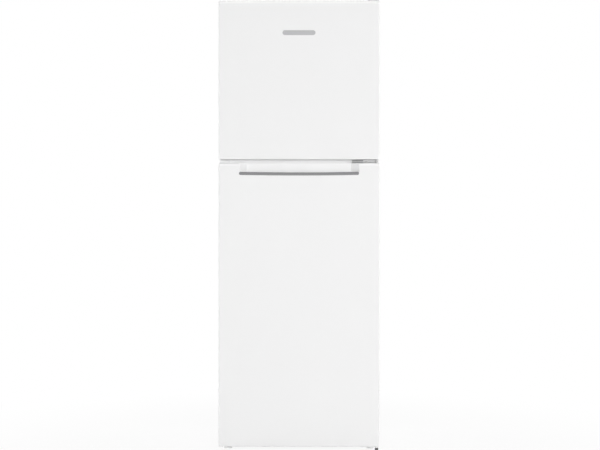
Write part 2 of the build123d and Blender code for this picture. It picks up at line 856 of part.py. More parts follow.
# Compressor: shell, foot plate, tube stubs and terminal boss
foot_plate_z = (grommet_z[1], grommet_z[1] + compressor_foot_sheet)
foot_cut_z = (foot_plate_z[0] - overcut, foot_plate_z[1] + overcut)
shell_z = (deck_top_z + compressor_lift, deck_top_z + compressor_lift + compressor_height)
seam_z = shell_z[0] + compressor_seam_rise
stub_x = compressor_x - compressor_half_length - stub_length
discharge_z = shell_z[0] + discharge_rise
suction_z = shell_z[0] + suction_rise
discharge_y = compressor_y + discharge_shift
suction_y = compressor_y - suction_shift
terminal_x = compressor_x + compressor_half_length + terminal_depth
terminal_z = (shell_z[0] + terminal_rise, shell_z[0] + terminal_rise + terminal_height)
with BuildPart() as compressor:
    with BuildSketch(Plane.XY.offset(shell_z[0])):
        with Locations((compressor_x, compressor_y)):
            Ellipse(compressor_half_length, compressor_half_width)
    extrude(amount=compressor_height)
    fillet(compressor.edges().group_by(Axis.Z)[-1], compressor_dome)
    fillet(compressor.edges().group_by(Axis.Z)[0], compressor_heel)
    with BuildSketch(Plane.XY.offset(seam_z)):
        with Locations((compressor_x, compressor_y)):
            Ellipse(compressor_half_length + compressor_seam, compressor_half_width + compressor_seam)
    extrude(amount=compressor_seam_height)
    block(
        (compressor_x - compressor_foot_length / 2, compressor_x + compressor_foot_length / 2),
        (compressor_y - compressor_foot_width / 2, compressor_y + compressor_foot_width / 2),
        foot_plate_z,
    )
    rod_x((stub_x, compressor_x), discharge_y, discharge_z, stub_diameter / 2)
    rod_x((stub_x, compressor_x), suction_y, suction_z, stub_diameter / 2)
    block(
        (compressor_x, terminal_x),
        (compressor_y - terminal_width / 2, compressor_y + terminal_width / 2),
        terminal_z,
    )
    for x, y in mount_points:
        post(x, y, foot_cut_z, bolt_radius + running_clearance, Mode.SUBTRACT)
save(compressor, "compressor")

# Screws of the three hinges and bolts of the compressor
with BuildPart() as cabinet_screws:
    head_radius = screw_head_diameter / 2
    for y in top_screw_y:
        head_z = body_top_z + hinge_plate
        post(top_screw_x, y, (head_z, head_z + screw_head_height), head_radius)
        post(top_screw_x, y, (body_top_z - screw_length + screw_tip_gap, head_z), screw_radius)
    for x in middle_screw_x:
        rod_y(x, (flange_y[0] - screw_head_height, flange_y[0]), middle_screw_z, head_radius)
        rod_y(x, (flange_y[0], face_y + screw_length - screw_tip_gap), middle_screw_z, screw_radius)
    for y in bottom_screw_y:
        head_z = bottom_plate_z[0]
        post(bottom_screw_x, y, (head_z - screw_head_height, head_z), head_radius)
        post(bottom_screw_x, y, (head_z, base_height + screw_length - screw_tip_gap), screw_radius)
    for x, y in mount_points:
        post(x, y, (deck_z, foot_plate_z[1]), bolt_radius)
        with BuildSketch(Plane.XY.offset(foot_plate_z[1])):
            with Locations((x, y)):
                RegularPolygon(compressor_bolt_head / 2, 6, major_radius=False)
        extrude(amount=compressor_bolt_head_height)
save(cabinet_screws, "cabinet_screws")

# Cover of the starting relay on the terminal boss
relay_rim = (relay_height - terminal_height) / 2
relay_z = (terminal_z[0] - relay_rim, terminal_z[1] + relay_rim)
relay_y = (compressor_y - relay_width / 2, compressor_y + relay_width / 2)
with BuildPart() as relay_cover:
    block((terminal_x, terminal_x + relay_depth), relay_y, relay_z)
    fillet(relay_cover.faces().sort_by(Axis.X)[-1].edges(), relay_corner)
    block(
        (terminal_x + relay_wall, terminal_x + relay_depth - relay_wall),
        (relay_y[0] + relay_wall, relay_y[1] - relay_wall),
        (relay_z[0] - overcut, relay_z[1] - relay_wall),
        Mode.SUBTRACT,
    )
save(relay_cover, "relay_cover")

# Evaporation tray on the compressor
tray_x = (compressor_x - tray_length / 2, compressor_x + tray_length / 2)
tray_y = (compressor_y + tray_shift - tray_width / 2, compressor_y + tray_shift + tray_width / 2)
tray_z = (shell_z[1], shell_z[1] + tray_height)
with BuildPart() as evaporation_tray:
    block(tray_x, tray_y, tray_z)
    fillet(evaporation_tray.edges().filter_by(Axis.Z), tray_corner)
    offset(amount=-tray_wall, openings=evaporation_tray.faces().sort_by(Axis.Z)[-1])
save(evaporation_tray, "evaporation_tray")

# Condenser tube: a riser, the runs across the back and a tail into the bay
condenser_low_z = bay_top_z + condenser_bottom_gap
condenser_high_z = body_top_z - condenser_top_gap
run_pitch = (condenser_high_z - condenser_low_z) / (condenser_runs - 1)
tail_z = bay_top_z - tail_drop
tail_y = back_y - tail_setback
tube_points = [
    (-condenser_riser, tail_y, tail_z),
    (-condenser_riser, condenser_y, tail_z),
    (-condenser_riser, condenser_y, condenser_high_z),
]
run_sign = 1
for run in range(condenser_runs - 1):
    run_z = condenser_high_z - run * run_pitch
    tube_points.append((run_sign * condenser_half, condenser_y, run_z))
    tube_points.append((run_sign * condenser_half, condenser_y, run_z - run_pitch))
    run_sign = -run_sign
tube_points.append((run_sign * condenser_riser, condenser_y, condenser_low_z))
tube_points.append((run_sign * condenser_riser, condenser_y, tail_z))
tube_points.append((run_sign * condenser_riser, tail_y, tail_z))
tube_points.append((run_sign * condenser_riser, tail_y, tail_z - drier_entry))
run_bend = run_pitch / 2 - condenser_bend_slack
tube_bends = [tail_bend, tail_bend] + [run_bend] * (2 * (condenser_runs - 1)) + [tail_bend] * 3
with BuildPart() as condenser_tube:
    with BuildLine() as tube_path:
        FilletPolyline(*tube_points, radius=tube_bends)
    with BuildSketch(tube_path.line ^ 0):
        Circle(tube_diameter / 2)
    sweep()
save(condenser_tube, "condenser_tube")

# Wires on both sides of the condenser tube
wire_radius = wire_diameter / 2
wire_reach = condenser_half - run_pitch / 2
wire_pitch = 2 * wire_reach / (wire_count - 1)
wire_z = (condenser_low_z - wire_overhang, condenser_high_z + wire_overhang)
wire_offset = tube_diameter / 2 + wire_gap + wire_radius
with BuildPart() as condenser_wires:
    for row_y in (condenser_y - wire_offset, condenser_y + wire_offset):
        for index in range(wire_count):
            post(-wire_reach + index * wire_pitch, row_y, wire_z, wire_radius)
save(condenser_wires, "condenser_wires")

# Clips that hold the condenser off the back panel
with BuildPart() as condenser_clips:
    for run in (1, condenser_runs - 2):
        run_z = condenser_high_z - run * run_pitch
        for gap_index in (clip_gap_index, wire_count - 2 - clip_gap_index):
            clip_x = -wire_reach + (gap_index + 0.5) * wire_pitch
            block(
                (clip_x - clip_width / 2, clip_x + clip_width / 2),
                (back_y, condenser_y + tube_diameter / 2 + clip_wall),
                (run_z - clip_height / 2, run_z + clip_height / 2),
            )
            rod_x(
                (clip_x - clip_width, clip_x + clip_width),
                condenser_y,
                run_z,
                tube_diameter / 2 + running_clearance,
                Mode.SUBTRACT,
            )
save(condenser_clips, "condenser_clips")

# Copper tubes in the compressor bay: discharge line, suction line, filter drier and capillary
suction_x = stub_x - suction_run
drier_x = run_sign * condenser_riser
drier_top_z = tail_z - drier_entry
drier_low_z = drier_top_z - drier_length
drier_radius = drier_diameter / 2
capillary_radius = capillary_diameter / 2
capillary_low_z = drier_low_z - capillary_drop
capillary_y = tail_y - capillary_run
drier_profile = [
    (0, drier_top_z),
    (tube_diameter / 2, drier_top_z),
    (drier_radius, drier_top_z - drier_neck),
    (drier_radius, drier_low_z + drier_neck),
    (capillary_radius, drier_low_z + drier_tip),
    (capillary_radius, drier_low_z),
    (0, drier_low_z),
]
with BuildPart() as copper_tubes:
    with BuildLine() as discharge_path:
        FilletPolyline(
            (stub_x, discharge_y, discharge_z),
            (-condenser_riser, discharge_y, discharge_z),
            (-condenser_riser, discharge_y, tail_z),
            (-condenser_riser, tail_y, tail_z),
            radius=tail_bend,
        )
    with BuildSketch(discharge_path.line ^ 0):
        Circle(tube_diameter / 2)
    sweep(path=discharge_path.line)
    with BuildLine() as suction_path:
        FilletPolyline(
            (stub_x, suction_y, suction_z),
            (suction_x, suction_y, suction_z),
            (suction_x, suction_y, bay_top_z),
            radius=suction_bend,
        )
    with BuildSketch(suction_path.line ^ 0):
        Circle(suction_diameter / 2)
    sweep(path=suction_path.line)
    with BuildSketch(Plane(origin=(drier_x, tail_y, 0), x_dir=(1, 0, 0), z_dir=(0, -1, 0))):
        Polygon(*drier_profile, align=None)
    revolve(axis=Axis((drier_x, tail_y, 0), (0, 0, 1)))
    with BuildLine() as capillary_path:
        FilletPolyline(
            (drier_x, tail_y, drier_low_z),
            (drier_x, tail_y, capillary_low_z),
            (drier_x, capillary_y, capillary_low_z),
            (drier_x, capillary_y, bay_top_z),
            radius=tail_bend,
        )
    with BuildSketch(capillary_path.line ^ 0):
        Circle(capillary_radius)
    sweep(path=capillary_path.line)
save(copper_tubes, "copper_tubes")

# Thermostat and lamp housing under the fridge ceiling
control_y = (face_y + control_setback, face_y + control_setback + control_length)
control_z = (fridge_ceiling_z - control_height, fridge_ceiling_z)
control_half = control_width / 2
knob_x = control_knob_offset
knob_z = fridge_ceiling_z - control_height / 2
lens_x = (-control_half + lens_margin, -control_half + lens_margin + lens_width)
lens_y = (control_y[1] - lens_margin - lens_length, control_y[1] - lens_margin)
with BuildPart() as control_housing:
    block((-control_half, control_half), control_y, control_z)
    fillet(control_housing.edges().filter_by(Axis.Z), control_corner)
    fillet(control_housing.faces().sort_by(Axis.Z)[0].edges(), control_edge)
    block(
        (-control_half + control_wall, control_half - control_wall),
        (control_y[0] + control_wall, control_y[1] - control_wall),
        (control_z[0] + control_wall, control_z[1] + overcut),
        Mode.SUBTRACT,
    )
    block(lens_x, lens_y, (control_z[0] - overcut, control_z[1]), Mode.SUBTRACT)
    hole_y = (control_y[0] - overcut, control_y[0] + control_wall + overcut)
    rod_y(knob_x, hole_y, knob_z, shaft_hole / 2, Mode.SUBTRACT)
save(control_housing, "control_housing")

# Lamp cover in the floor of the housing
with BuildPart() as lamp_cover:
    block(
        (lens_x[0] + lens_fit, lens_x[1] - lens_fit),
        (lens_y[0] + lens_fit, lens_y[1] - lens_fit),
        (control_z[0], control_z[0] + control_wall),
    )
    block(
        (lens_x[0] - lens_ledge, lens_x[1] + lens_ledge),
        (lens_y[0] - lens_ledge, lens_y[1] + lens_ledge),
        (control_z[0] + control_wall, control_z[0] + control_wall + lens_sheet),
    )
save(lamp_cover, "lamp_cover")

# Thermostat with its shaft
with BuildPart() as thermostat:
    block(
        (knob_x - thermostat_width / 2, knob_x + thermostat_width / 2),
        (control_y[0] + control_wall, control_y[0] + control_wall + thermostat_length),
        (knob_z - thermostat_height / 2, knob_z + thermostat_height / 2),
    )
    rod_y(
        knob_x,
        (control_y[0] - knob_gap - shaft_length, control_y[0] + control_wall + overcut),
        knob_z,
        shaft_diameter / 2,
    )
save(thermostat, "thermostat")

# Thermostat knob with a grip bar
knob_y = (control_y[0] - knob_gap - knob_length, control_y[0] - knob_gap)
with BuildPart() as thermostat_knob:
    rod_y(knob_x, knob_y, knob_z, knob_diameter / 2)
    fillet(thermostat_knob.edges().group_by(Axis.Y)[0], knob_edge)
    block(
        (knob_x - knob_bar / 2, knob_x + knob_bar / 2),
        (knob_y[0] - knob_bar, knob_y[0] + knob_bar),
        (knob_z - knob_bar_length / 2, knob_z + knob_bar_length / 2),
    )
    rod_y(
        knob_x,
        (knob_y[1] - shaft_length - knob_gap, knob_y[1] + overcut),
        knob_z,
        shaft_diameter / 2 + running_clearance,
        Mode.SUBTRACT,
    )
save(thermostat_knob, "thermostat_knob")

# Glass shelves of the fridge, the lowest one covering the crisper
shelf_half = fridge_half - shelf_side_gap
shelf_y = (shelf_front_y, fridge_back_y - shelf_back_gap)
for name, low_z in (
    ("upper_shelf", upper_shelf_z),
    ("lower_shelf", lower_shelf_z),
    ("crisper_cover", crisper_cover_z),
):
    with BuildPart() as shelf:
        block((-shelf_half, shelf_half), shelf_y, (low_z, low_z + shelf_glass))
        fillet(shelf.edges().filter_by(Axis.Z).group_by(Axis.Y)[-1], liner_radius)
    save(shelf, f"{name}_glass")

# Front trims clipped on the three glass shelves
trim_y = (shelf_front_y + shelf_trim_grip - shelf_trim_depth, shelf_front_y + shelf_trim_grip)
with BuildPart() as shelf_trims:
    for low_z in (upper_shelf_z, lower_shelf_z, crisper_cover_z):
        trim_z = (low_z - shelf_trim_wrap, low_z + shelf_glass + shelf_trim_wrap)
        block((-shelf_half, shelf_half), trim_y, trim_z)
        block(
            (-shelf_half - overcut, shelf_half + overcut),
            (shelf_front_y, trim_y[1] + overcut),
            (low_z, low_z + shelf_glass),
            Mode.SUBTRACT,
        )
    fillet(shelf_trims.edges().filter_by(Axis.X).group_by(Axis.Y)[0], shelf_trim_wrap)
save(shelf_trims, "shelf_trims")

# Crisper drawer, shaped round the step over the compressor bay
crisper_front_y = bin_back_y + crisper_bin_gap + crisper_travel + crisper_pull
crisper_z = (fridge_floor_z + crisper_lift, crisper_cover_z - rib_height - crisper_cover_gap)
crisper_half = fridge_half - crisper_side_gap
crisper_radius = liner_radius + crisper_wall
with BuildPart() as crisper_drawer:
    with BuildSketch(Plane.YZ):
        area((crisper_front_y, fridge_back_y), crisper_z)
        Polygon(*bay_outline(bay_wall + crisper_clearance), align=None, mode=Mode.SUBTRACT)
    extrude(amount=crisper_half, both=True)
    rounded = []
    for edge in crisper_drawer.edges():
        middle = edge.center()
        if middle.Y > crisper_front_y + near and middle.Z < crisper_z[1] - near:
            rounded.append(edge)
    fillet(rounded, crisper_radius)
    offset(amount=-crisper_wall, openings=crisper_drawer.faces().sort_by(Axis.Z)[-1])
    block(
        (-crisper_pull_width / 2, crisper_pull_width / 2),
        (crisper_front_y - crisper_pull, crisper_front_y + crisper_wall),
        (crisper_z[1] - crisper_pull_height, crisper_z[1] - crisper_pull_height + crisper_wall),
    )
save(crisper_drawer, "crisper_drawer")

# Wire shelf of the freezer
bar_radius = shelf_bar / 2
bar_z = freezer_shelf_z + bar_radius + running_clearance
bar_half = freezer_half - freezer_shelf_fit
grid_y = (shelf_front_y, freezer_back_y - liner_radius)
grid_half = freezer_half - freezer_rib_depth - shelf_bar
grid_z = bar_z + bar_radius + shelf_wire / 2 - shelf_wire_sink
with BuildPart() as freezer_shelf:
    for y in (grid_y[0] + bar_radius, (grid_y[0] + grid_y[1]) / 2, grid_y[1] - bar_radius):
        rod_x((-bar_half, bar_half), y, bar_z, bar_radius)
    for index in range(shelf_wire_count):
        wire_x = -grid_half + index * 2 * grid_half / (shelf_wire_count - 1)
        rod_y(wire_x, grid_y, grid_z, shelf_wire / 2)
save(freezer_shelf, "freezer_shelf")

grip_half = grip_width / 2
trim_top_z = fridge_door_top_z - grip_drop
trim_low_z = trim_top_z - trim_height
grip_floor_z = trim_top_z - grip_pocket
grip_back_y = front_y + grip_depth
door_plane = Plane(origin=(0, front_y, 0), x_dir=(1, 0, 0), z_dir=(0, -1, 0))


def frame_ring(x_half, y, z, width):
    """Put a rectangular ring, seen from the front, between two Y planes."""
    block((-x_half, x_half), y, z)
    block((-x_half + width, x_half - width), y, (z[0] + width, z[1] - width), Mode.SUBTRACT)


def end_cap(end_z, inward):
    """Lip and plug of a door's end cap; inward is 1 for a bottom cap and -1 for a top cap."""
    with BuildPart() as cap:
        with BuildSketch(Plane.XY.offset(end_z)) as lip:
            area((-half, half), (front_y, door_liner_y))
            fillet(lip.vertices().group_by(Axis.Y)[0], door_edge_radius)
        extrude(amount=inward * cap_lip)
        end_face = cap.faces().sort_by(Axis.Z)[0 if inward > 0 else -1]
        fillet([e for e in end_face.edges() if e.center().Y < door_liner_y - near], cap_edge_radius)
        with BuildSketch(Plane.XY.offset(end_z + inward * cap_lip)) as plug:
            inset = sheet + cap_fit
            area((-half + inset, half - inset), (front_y + inset, hem_y - cap_fit))
            fillet(plug.vertices().group_by(Axis.Y)[0], door_edge_radius - inset)
        extrude(amount=inward * cap_plug)
        bore_z = sorted((end_z - inward * overcut, end_z + inward * (pin_reach + overcut)))
        post(axis_x, axis_y, bore_z, bore_radius, Mode.SUBTRACT)
    return cap.part


# Hollow behind the handle bar, narrower at its back
with BuildPart() as grip_hollow:
    with BuildSketch(Plane.XY.offset(grip_floor_z)):
        Polygon(
            (-grip_half, front_y + grip_lip),
            (grip_half, front_y + grip_lip),
            (grip_half - grip_flare, grip_back_y),
            (-grip_half + grip_flare, grip_back_y),
            align=None,
        )
    extrude(amount=grip_drop + grip_pocket + cap_lip)
    fillet(grip_hollow.faces().sort_by(Axis.Z)[0].edges(), grip_floor_radius)

# Front opening of the grip, above the bowed handle bar
with BuildPart() as grip_mouth:
    with BuildSketch(door_plane):
        with BuildLine():
            ThreePointArc((-grip_half, trim_top_z), (0, trim_top_z - grip_bow), (grip_half, trim_top_z))
            Polyline(
                (grip_half, trim_top_z),
                (grip_half, fridge_door_top_z + cap_lip),
                (-grip_half, fridge_door_top_z + cap_lip),
                (-grip_half, trim_top_z),
            )
        make_face()
    extrude(amount=-(grip_lip + overcut))
    extrude(grip_mouth.faces().sort_by(Axis.Y)[0], amount=overcut)

# Slot for the handle bar, cut from the door skin down to its lower edge
slot_half = grip_half + trim_fit
slot_low_z = trim_low_z - trim_fit
with BuildPart() as bar_slot:
    with BuildSketch(door_plane):
        with BuildLine():
            ThreePointArc((-slot_half, slot_low_z), (0, slot_low_z - grip_bow), (slot_half, slot_low_z))
            Polyline(
                (slot_half, slot_low_z),
                (slot_half, fridge_door_top_z - cap_lip),
                (-slot_half, fridge_door_top_z - cap_lip),
                (-slot_half, slot_low_z),
            )
        make_face()
    extrude(amount=-(trim_thickness + trim_fit))

# Handle bar
with BuildPart() as handle_bar:
    with BuildSketch(door_plane):
        with BuildLine():
            ThreePointArc((-grip_half, trim_top_z), (0, trim_top_z - grip_bow), (grip_half, trim_top_z))
            Line((grip_half, trim_top_z), (grip_half, trim_low_z))
            ThreePointArc((grip_half, trim_low_z), (0, trim_low_z - grip_bow), (-grip_half, trim_low_z))
            Line((-grip_half, trim_low_z), (-grip_half, trim_top_z))
        make_face()
    extrude(amount=-trim_thickness)
save(handle_bar, "handle_bar")

# Blocks that hold the grip in the fridge door and the scoop under the freezer door
grip_block_x = (-grip_half - grip_wall, grip_half + grip_wall)
grip_block_y = (front_y + sheet + cap_fit, grip_back_y + grip_wall)
grip_block_z = (grip_floor_z - grip_wall, fridge_door_top_z - cap_lip)
scoop_block_z = (freezer_door_bottom_z + cap_lip, freezer_door_bottom_z + scoop_height + grip_wall)

# End caps
with BuildPart() as fridge_door_top_cap:
    add(end_cap(fridge_door_top_z, -1))
    block(grip_block_x, grip_block_y, grip_block_z)
    add(grip_hollow.part, mode=Mode.SUBTRACT)
    add(grip_mouth.part, mode=Mode.SUBTRACT)
    add(bar_slot.part, mode=Mode.SUBTRACT)
save(fridge_door_top_cap, "fridge_door_top_cap")

with BuildPart() as fridge_door_bottom_cap:
    add(end_cap(fridge_door_bottom_z, 1))
save(fridge_door_bottom_cap, "fridge_door_bottom_cap")

with BuildPart() as freezer_door_top_cap:
    add(end_cap(freezer_door_top_z, -1))
save(freezer_door_top_cap, "freezer_door_top_cap")

with BuildPart() as freezer_door_bottom_cap:
    add(end_cap(freezer_door_bottom_z, 1))
    block(grip_block_x, grip_block_y, scoop_block_z)
    block(
        (-grip_half, grip_half),
        (front_y + scoop_lip, grip_back_y),
        (freezer_door_bottom_z - overcut, freezer_door_bottom_z + scoop_height),
        Mode.SUBTRACT,
    )
save(freezer_door_bottom_cap, "freezer_door_bottom_cap")

# The rest of each door, made the same way for both
doors = {
    "fridge": (
        (fridge_door_bottom_z, fridge_door_top_z),
        fridge_half,
        (fridge_floor_z, fridge_ceiling_z),
        grip_block_z,
        (
            ("fridge_bin_bottle", bottle_bin_rise, bottle_bin_height),
            ("fridge_bin_middle", middle_bin_rise, fridge_bin_height),
            ("fridge_bin_upper", upper_bin_rise, fridge_bin_height),
        ),
    ),
    "freezer": (
        (freezer_door_bottom_z, freezer_door_top_z),
        freezer_half,
        (freezer_floor_z, freezer_ceiling_z),
        scoop_block_z,
        (
            ("freezer_bin_lower", freezer_lower_bin_rise, freezer_bin_height),
            ("freezer_bin_upper", freezer_upper_bin_rise, freezer_bin_height),
        ),
    ),
}
for door, (door_z, space_half, space_z, cut_z, bins) in doors.items():
    skin_z = (door_z[0] + cap_lip, door_z[1] - cap_lip)
    dyke_half = space_half - dyke_clearance
    dyke_z = (space_z[0] + dyke_clearance, space_z[1] - dyke_clearance)
    dyke_y = (door_back_y, door_back_y + dyke_height)
    fill_half = dyke_half - dyke_skin
    fill_z = (dyke_z[0] + dyke_skin, dyke_z[1] - dyke_skin)
    fill_width = dyke_width - 2 * dyke_skin
    dyke_inner = dyke_half - dyke_width
    bin_half = dyke_inner - bin_end_gap
    bin_floor_z = dyke_z[0] + dyke_width

    # Outer skin, open at the back between two hems
    with BuildPart() as door_skin:
        with BuildSketch(Plane.XY.offset(skin_z[0])) as skin_outline:
            area((-half, half), (front_y, door_liner_y))
            fillet(skin_outline.vertices().group_by(Axis.Y)[0], door_edge_radius)
            offset(amount=-sheet, kind=Kind.INTERSECTION, mode=Mode.SUBTRACT)
            area((-half + hem, half - hem), (hem_y - sheet / 2, door_liner_y + sheet), Mode.SUBTRACT)
        extrude(amount=skin_z[1] - skin_z[0])
        if door == "fridge":
            add(bar_slot.part, mode=Mode.SUBTRACT)
        else:
            with BuildSketch(door_plane):
                with Locations((0, door_z[1] - plate_seat_drop)):
                    SlotOverall(plate_seat_width, plate_seat_height)
            extrude(amount=-plate_seat_depth, mode=Mode.SUBTRACT)
    save(door_skin, f"{door}_door_skin")

    # Inner liner with a raised rim and the lugs that carry the bins
    with BuildPart() as rim_fill:
        frame_ring(fill_half, (door_liner_y, dyke_y[1] - dyke_skin), fill_z, fill_width)
    with BuildPart() as door_liner:
        frame_ring(dyke_half, dyke_y, dyke_z, dyke_width)
        fillet(door_liner.edges().group_by(Axis.Y)[-1], dyke_radius)
        block(
            (-half + door_liner_margin, half - door_liner_margin),
            (door_liner_y, door_back_y),
            (door_z[0] + door_liner_margin, door_z[1] - door_liner_margin),
        )
        add(rim_fill.part, mode=Mode.SUBTRACT)
        for name, rise, height in bins:
            lug_top_z = bin_floor_z + rise + height - hook_height
            for sign in (-1, 1):
                lug_end = dyke_inner - bin_end_gap + bin_fit
                lug_x = sorted((sign * (dyke_inner + dyke_skin / 2), sign * lug_end))
                block(
                    lug_x,
                    (door_back_y + bin_standoff, door_back_y + bin_standoff + lug_depth),
                    (lug_top_z - lug_height, lug_top_z),
                )
    save(door_liner, f"{door}_door_liner")

    # Foam core, with the fill of the raised rim
    with BuildPart() as door_foam:
        with BuildSketch(Plane.XY.offset(skin_z[0])) as core:
            area((-half + sheet, half - sheet), (front_y + sheet, hem_y))
            fillet(core.vertices().group_by(Axis.Y)[0], door_edge_radius - sheet)
        extrude(amount=skin_z[1] - skin_z[0])
        block((-half + hem, half - hem), (hem_y, door_liner_y), skin_z)
        for plug_z in ((skin_z[0], skin_z[0] + cap_plug), (skin_z[1] - cap_plug, skin_z[1])):
            block((-half, half), (front_y, hem_y), plug_z, Mode.SUBTRACT)
        block(grip_block_x, (front_y, grip_block_y[1]), cut_z, Mode.SUBTRACT)
        add(rim_fill.part)
    save(door_foam, f"{door}_door_foam")

    # Seal: a base strip, a neck and a magnet strip
    seal_half = half - seal_side_inset
    seal_z = (door_z[0] + seal_end_inset, door_z[1] - seal_end_inset)
    seal_y = (door_back_y, face_y - seal_fit)
    neck_inset = (seal_width - seal_neck) / 2
    neck_y = (seal_y[0] + seal_base_height, seal_y[1] - seal_magnet_height)
    with BuildPart() as door_seal:
        frame_ring(seal_half, (seal_y[0], neck_y[0]), seal_z, seal_width)
        frame_ring(seal_half, (neck_y[1], seal_y[1]), seal_z, seal_width)
        frame_ring(
            seal_half - neck_inset,
            neck_y,
            (seal_z[0] + neck_inset, seal_z[1] - neck_inset),
            seal_neck,
        )
    save(door_seal, f"{door}_door_seal")

    # Bins with hooks that rest on the lugs
    bin_side_y = bin_back_y - bin_bulge
    bin_front_y = door_back_y + bin_standoff
    for name, rise, height in bins:
        low_z = bin_floor_z + rise
        hook_z = (low_z + height - hook_height, low_z + height)
        with BuildPart() as door_bin:
            with BuildSketch(Plane.XY.offset(low_z)) as bin_outline:
                with BuildLine():
                    Polyline(
                        (-bin_half, bin_side_y),
                        (-bin_half, bin_front_y),
                        (bin_half, bin_front_y),
                        (bin_half, bin_side_y),
                    )
                    ThreePointArc((bin_half, bin_side_y), (0, bin_back_y), (-bin_half, bin_side_y))
                make_face()
                fillet(bin_outline.vertices().group_by(Axis.Y)[-1], bin_corner)
            extrude(amount=height)
            fillet(door_bin.faces().sort_by(Axis.Z)[0].edges(), bin_floor_radius)
            with BuildSketch(Plane.XY.offset(low_z + bin_wall)):
                add(bin_outline.sketch_local)
                offset(amount=-bin_wall, mode=Mode.REPLACE)
            extrude(amount=height, mode=Mode.SUBTRACT)
            for sign in (-1, 1):
                hook_x = sorted((sign * (bin_half - bin_wall / 2), sign * (dyke_inner - bin_fit)))
                block(hook_x, (bin_front_y, bin_front_y + lug_depth), hook_z)
        save(door_bin, name)
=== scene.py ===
"""Looks of a top freezer refrigerator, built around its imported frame.

The file is laid out as an add-on and run as a script. Lengths are metres, X points right for
someone facing the doors, Y points to the back and Z points up.
"""
import math

import bpy
import numpy as np
from bpy.props import FloatProperty, FloatVectorProperty, IntProperty, PointerProperty
from bpy.types import Operator, Panel, PropertyGroup
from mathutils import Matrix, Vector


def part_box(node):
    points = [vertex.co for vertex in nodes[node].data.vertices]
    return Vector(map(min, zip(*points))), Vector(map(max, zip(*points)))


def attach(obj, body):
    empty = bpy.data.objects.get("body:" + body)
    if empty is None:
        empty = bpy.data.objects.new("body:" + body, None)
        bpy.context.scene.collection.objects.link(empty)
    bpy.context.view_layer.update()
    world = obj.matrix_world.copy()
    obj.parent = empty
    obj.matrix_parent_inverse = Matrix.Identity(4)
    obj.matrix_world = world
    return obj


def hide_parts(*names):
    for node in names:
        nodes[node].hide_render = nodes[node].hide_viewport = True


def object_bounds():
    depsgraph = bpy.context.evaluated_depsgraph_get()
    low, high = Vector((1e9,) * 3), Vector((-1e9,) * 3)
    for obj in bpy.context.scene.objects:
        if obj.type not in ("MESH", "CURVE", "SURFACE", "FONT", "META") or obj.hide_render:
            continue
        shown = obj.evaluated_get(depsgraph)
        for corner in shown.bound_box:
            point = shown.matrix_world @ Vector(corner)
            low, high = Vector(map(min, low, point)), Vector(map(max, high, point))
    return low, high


bl_info = {
    "name": "Top freezer refrigerator",
    "version": (1, 0, 0),
    "blender": (4, 5, 0),
    "location": "3D View > Sidebar > Refrigerator",
    "description": "Finishes, seals, grip bar, dial and stage of a top freezer refrigerator",
    "category": "Object",
}

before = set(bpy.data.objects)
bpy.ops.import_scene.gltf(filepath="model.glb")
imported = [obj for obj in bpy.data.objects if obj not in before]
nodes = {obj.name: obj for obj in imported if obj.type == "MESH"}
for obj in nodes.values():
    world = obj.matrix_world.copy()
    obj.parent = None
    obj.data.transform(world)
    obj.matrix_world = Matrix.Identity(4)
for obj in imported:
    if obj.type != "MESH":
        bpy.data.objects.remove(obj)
cad_low, cad_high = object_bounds()
door_front = cad_low.y


def amount(name, description, default, **options):
    """A number that a user may set."""
    return FloatProperty(name=name, description=description, default=default, **options)


def length(name, description, default):
    """A length that a user may set, in metres."""
    return amount(name, description, default, min=0.0, unit="LENGTH", precision=5)


def colour(name, description, default):
    """A linear colour that a user may set."""
    return FloatVectorProperty(
        name=name, description=description, default=default, size=3, min=0.0, max=1.0, subtype="COLOR"
    )


class FridgeView(PropertyGroup):
    """Camera and light."""

    distance: length("Distance", "From the camera to the door fronts", 4.6)
    pixel: length("Pixel", "Width of one pixel of the picture at the door fronts", 0.003381)
    aim_x: amount("Aim X", "X that the middle of the picture shows", 0.0034, unit="LENGTH")
    aim_z: length("Aim Z", "Height that the middle of the picture shows", 0.778)
    picture_width: IntProperty(
        name="Picture width", description="Width of the picture in pixels", default=600
    )
    front_power: amount("Front power", "Power of the lamp in front", 231.0, unit="POWER")
    side_power: amount("Side power", "Power of each lamp at the sides", 102.0, unit="POWER")
    back_power: amount("Back power", "Power of the lamp behind", 40.0, unit="POWER")
    top_power: amount("Top power", "Power of the lamp overhead", 68.0, unit="POWER")
    side_turn: amount(
        "Side turn", "Angle from the front to each lamp at the sides", math.radians(105), subtype="ANGLE"
    )
    side_reach: length("Side reach", "From the middle to each lamp at the sides and behind", 4.5)
    side_height: length("Side height", "Height of those lamps", 1.0)
    ambient: amount("Ambient", "Strength of the light from all round", 0.1, min=0.0)
    shadow: amount("Shadow", "Share of the near floor that takes shadow", 0.1, subtype="FACTOR")
    shadow_reach: length("Shadow reach", "How far from the middle the floor takes shadow", 1.6)
    floor_reach: length("Floor reach", "How far the floor goes on each side", 30.0)


class FridgeColours(PropertyGroup):
    """Colours of the finishes."""

    paint: colour("Paint", "Gloss paint on the steel sheets", (0.87, 0.87, 0.87))
    caps: colour("Caps", "White plastic of the door caps and covers", (0.92, 0.92, 0.92))
    liner: colour("Liner", "Plastic of the liners", (0.86, 0.87, 0.88))
    handle: colour("Handle", "Lacquer of the grip bar", (0.25, 0.25, 0.255))
    plate: colour("Plate", "Metal of the plate on the freezer door", (0.52, 0.52, 0.53))
    seal: colour("Seal", "Soft vinyl of the door seals", (0.90, 0.90, 0.90))
    enamel: colour("Enamel", "Black paint of the compressor and the condenser", (0.014, 0.014, 0.015))
    ink: colour("Ink", "Print on the dial", (0.12, 0.14, 0.18))


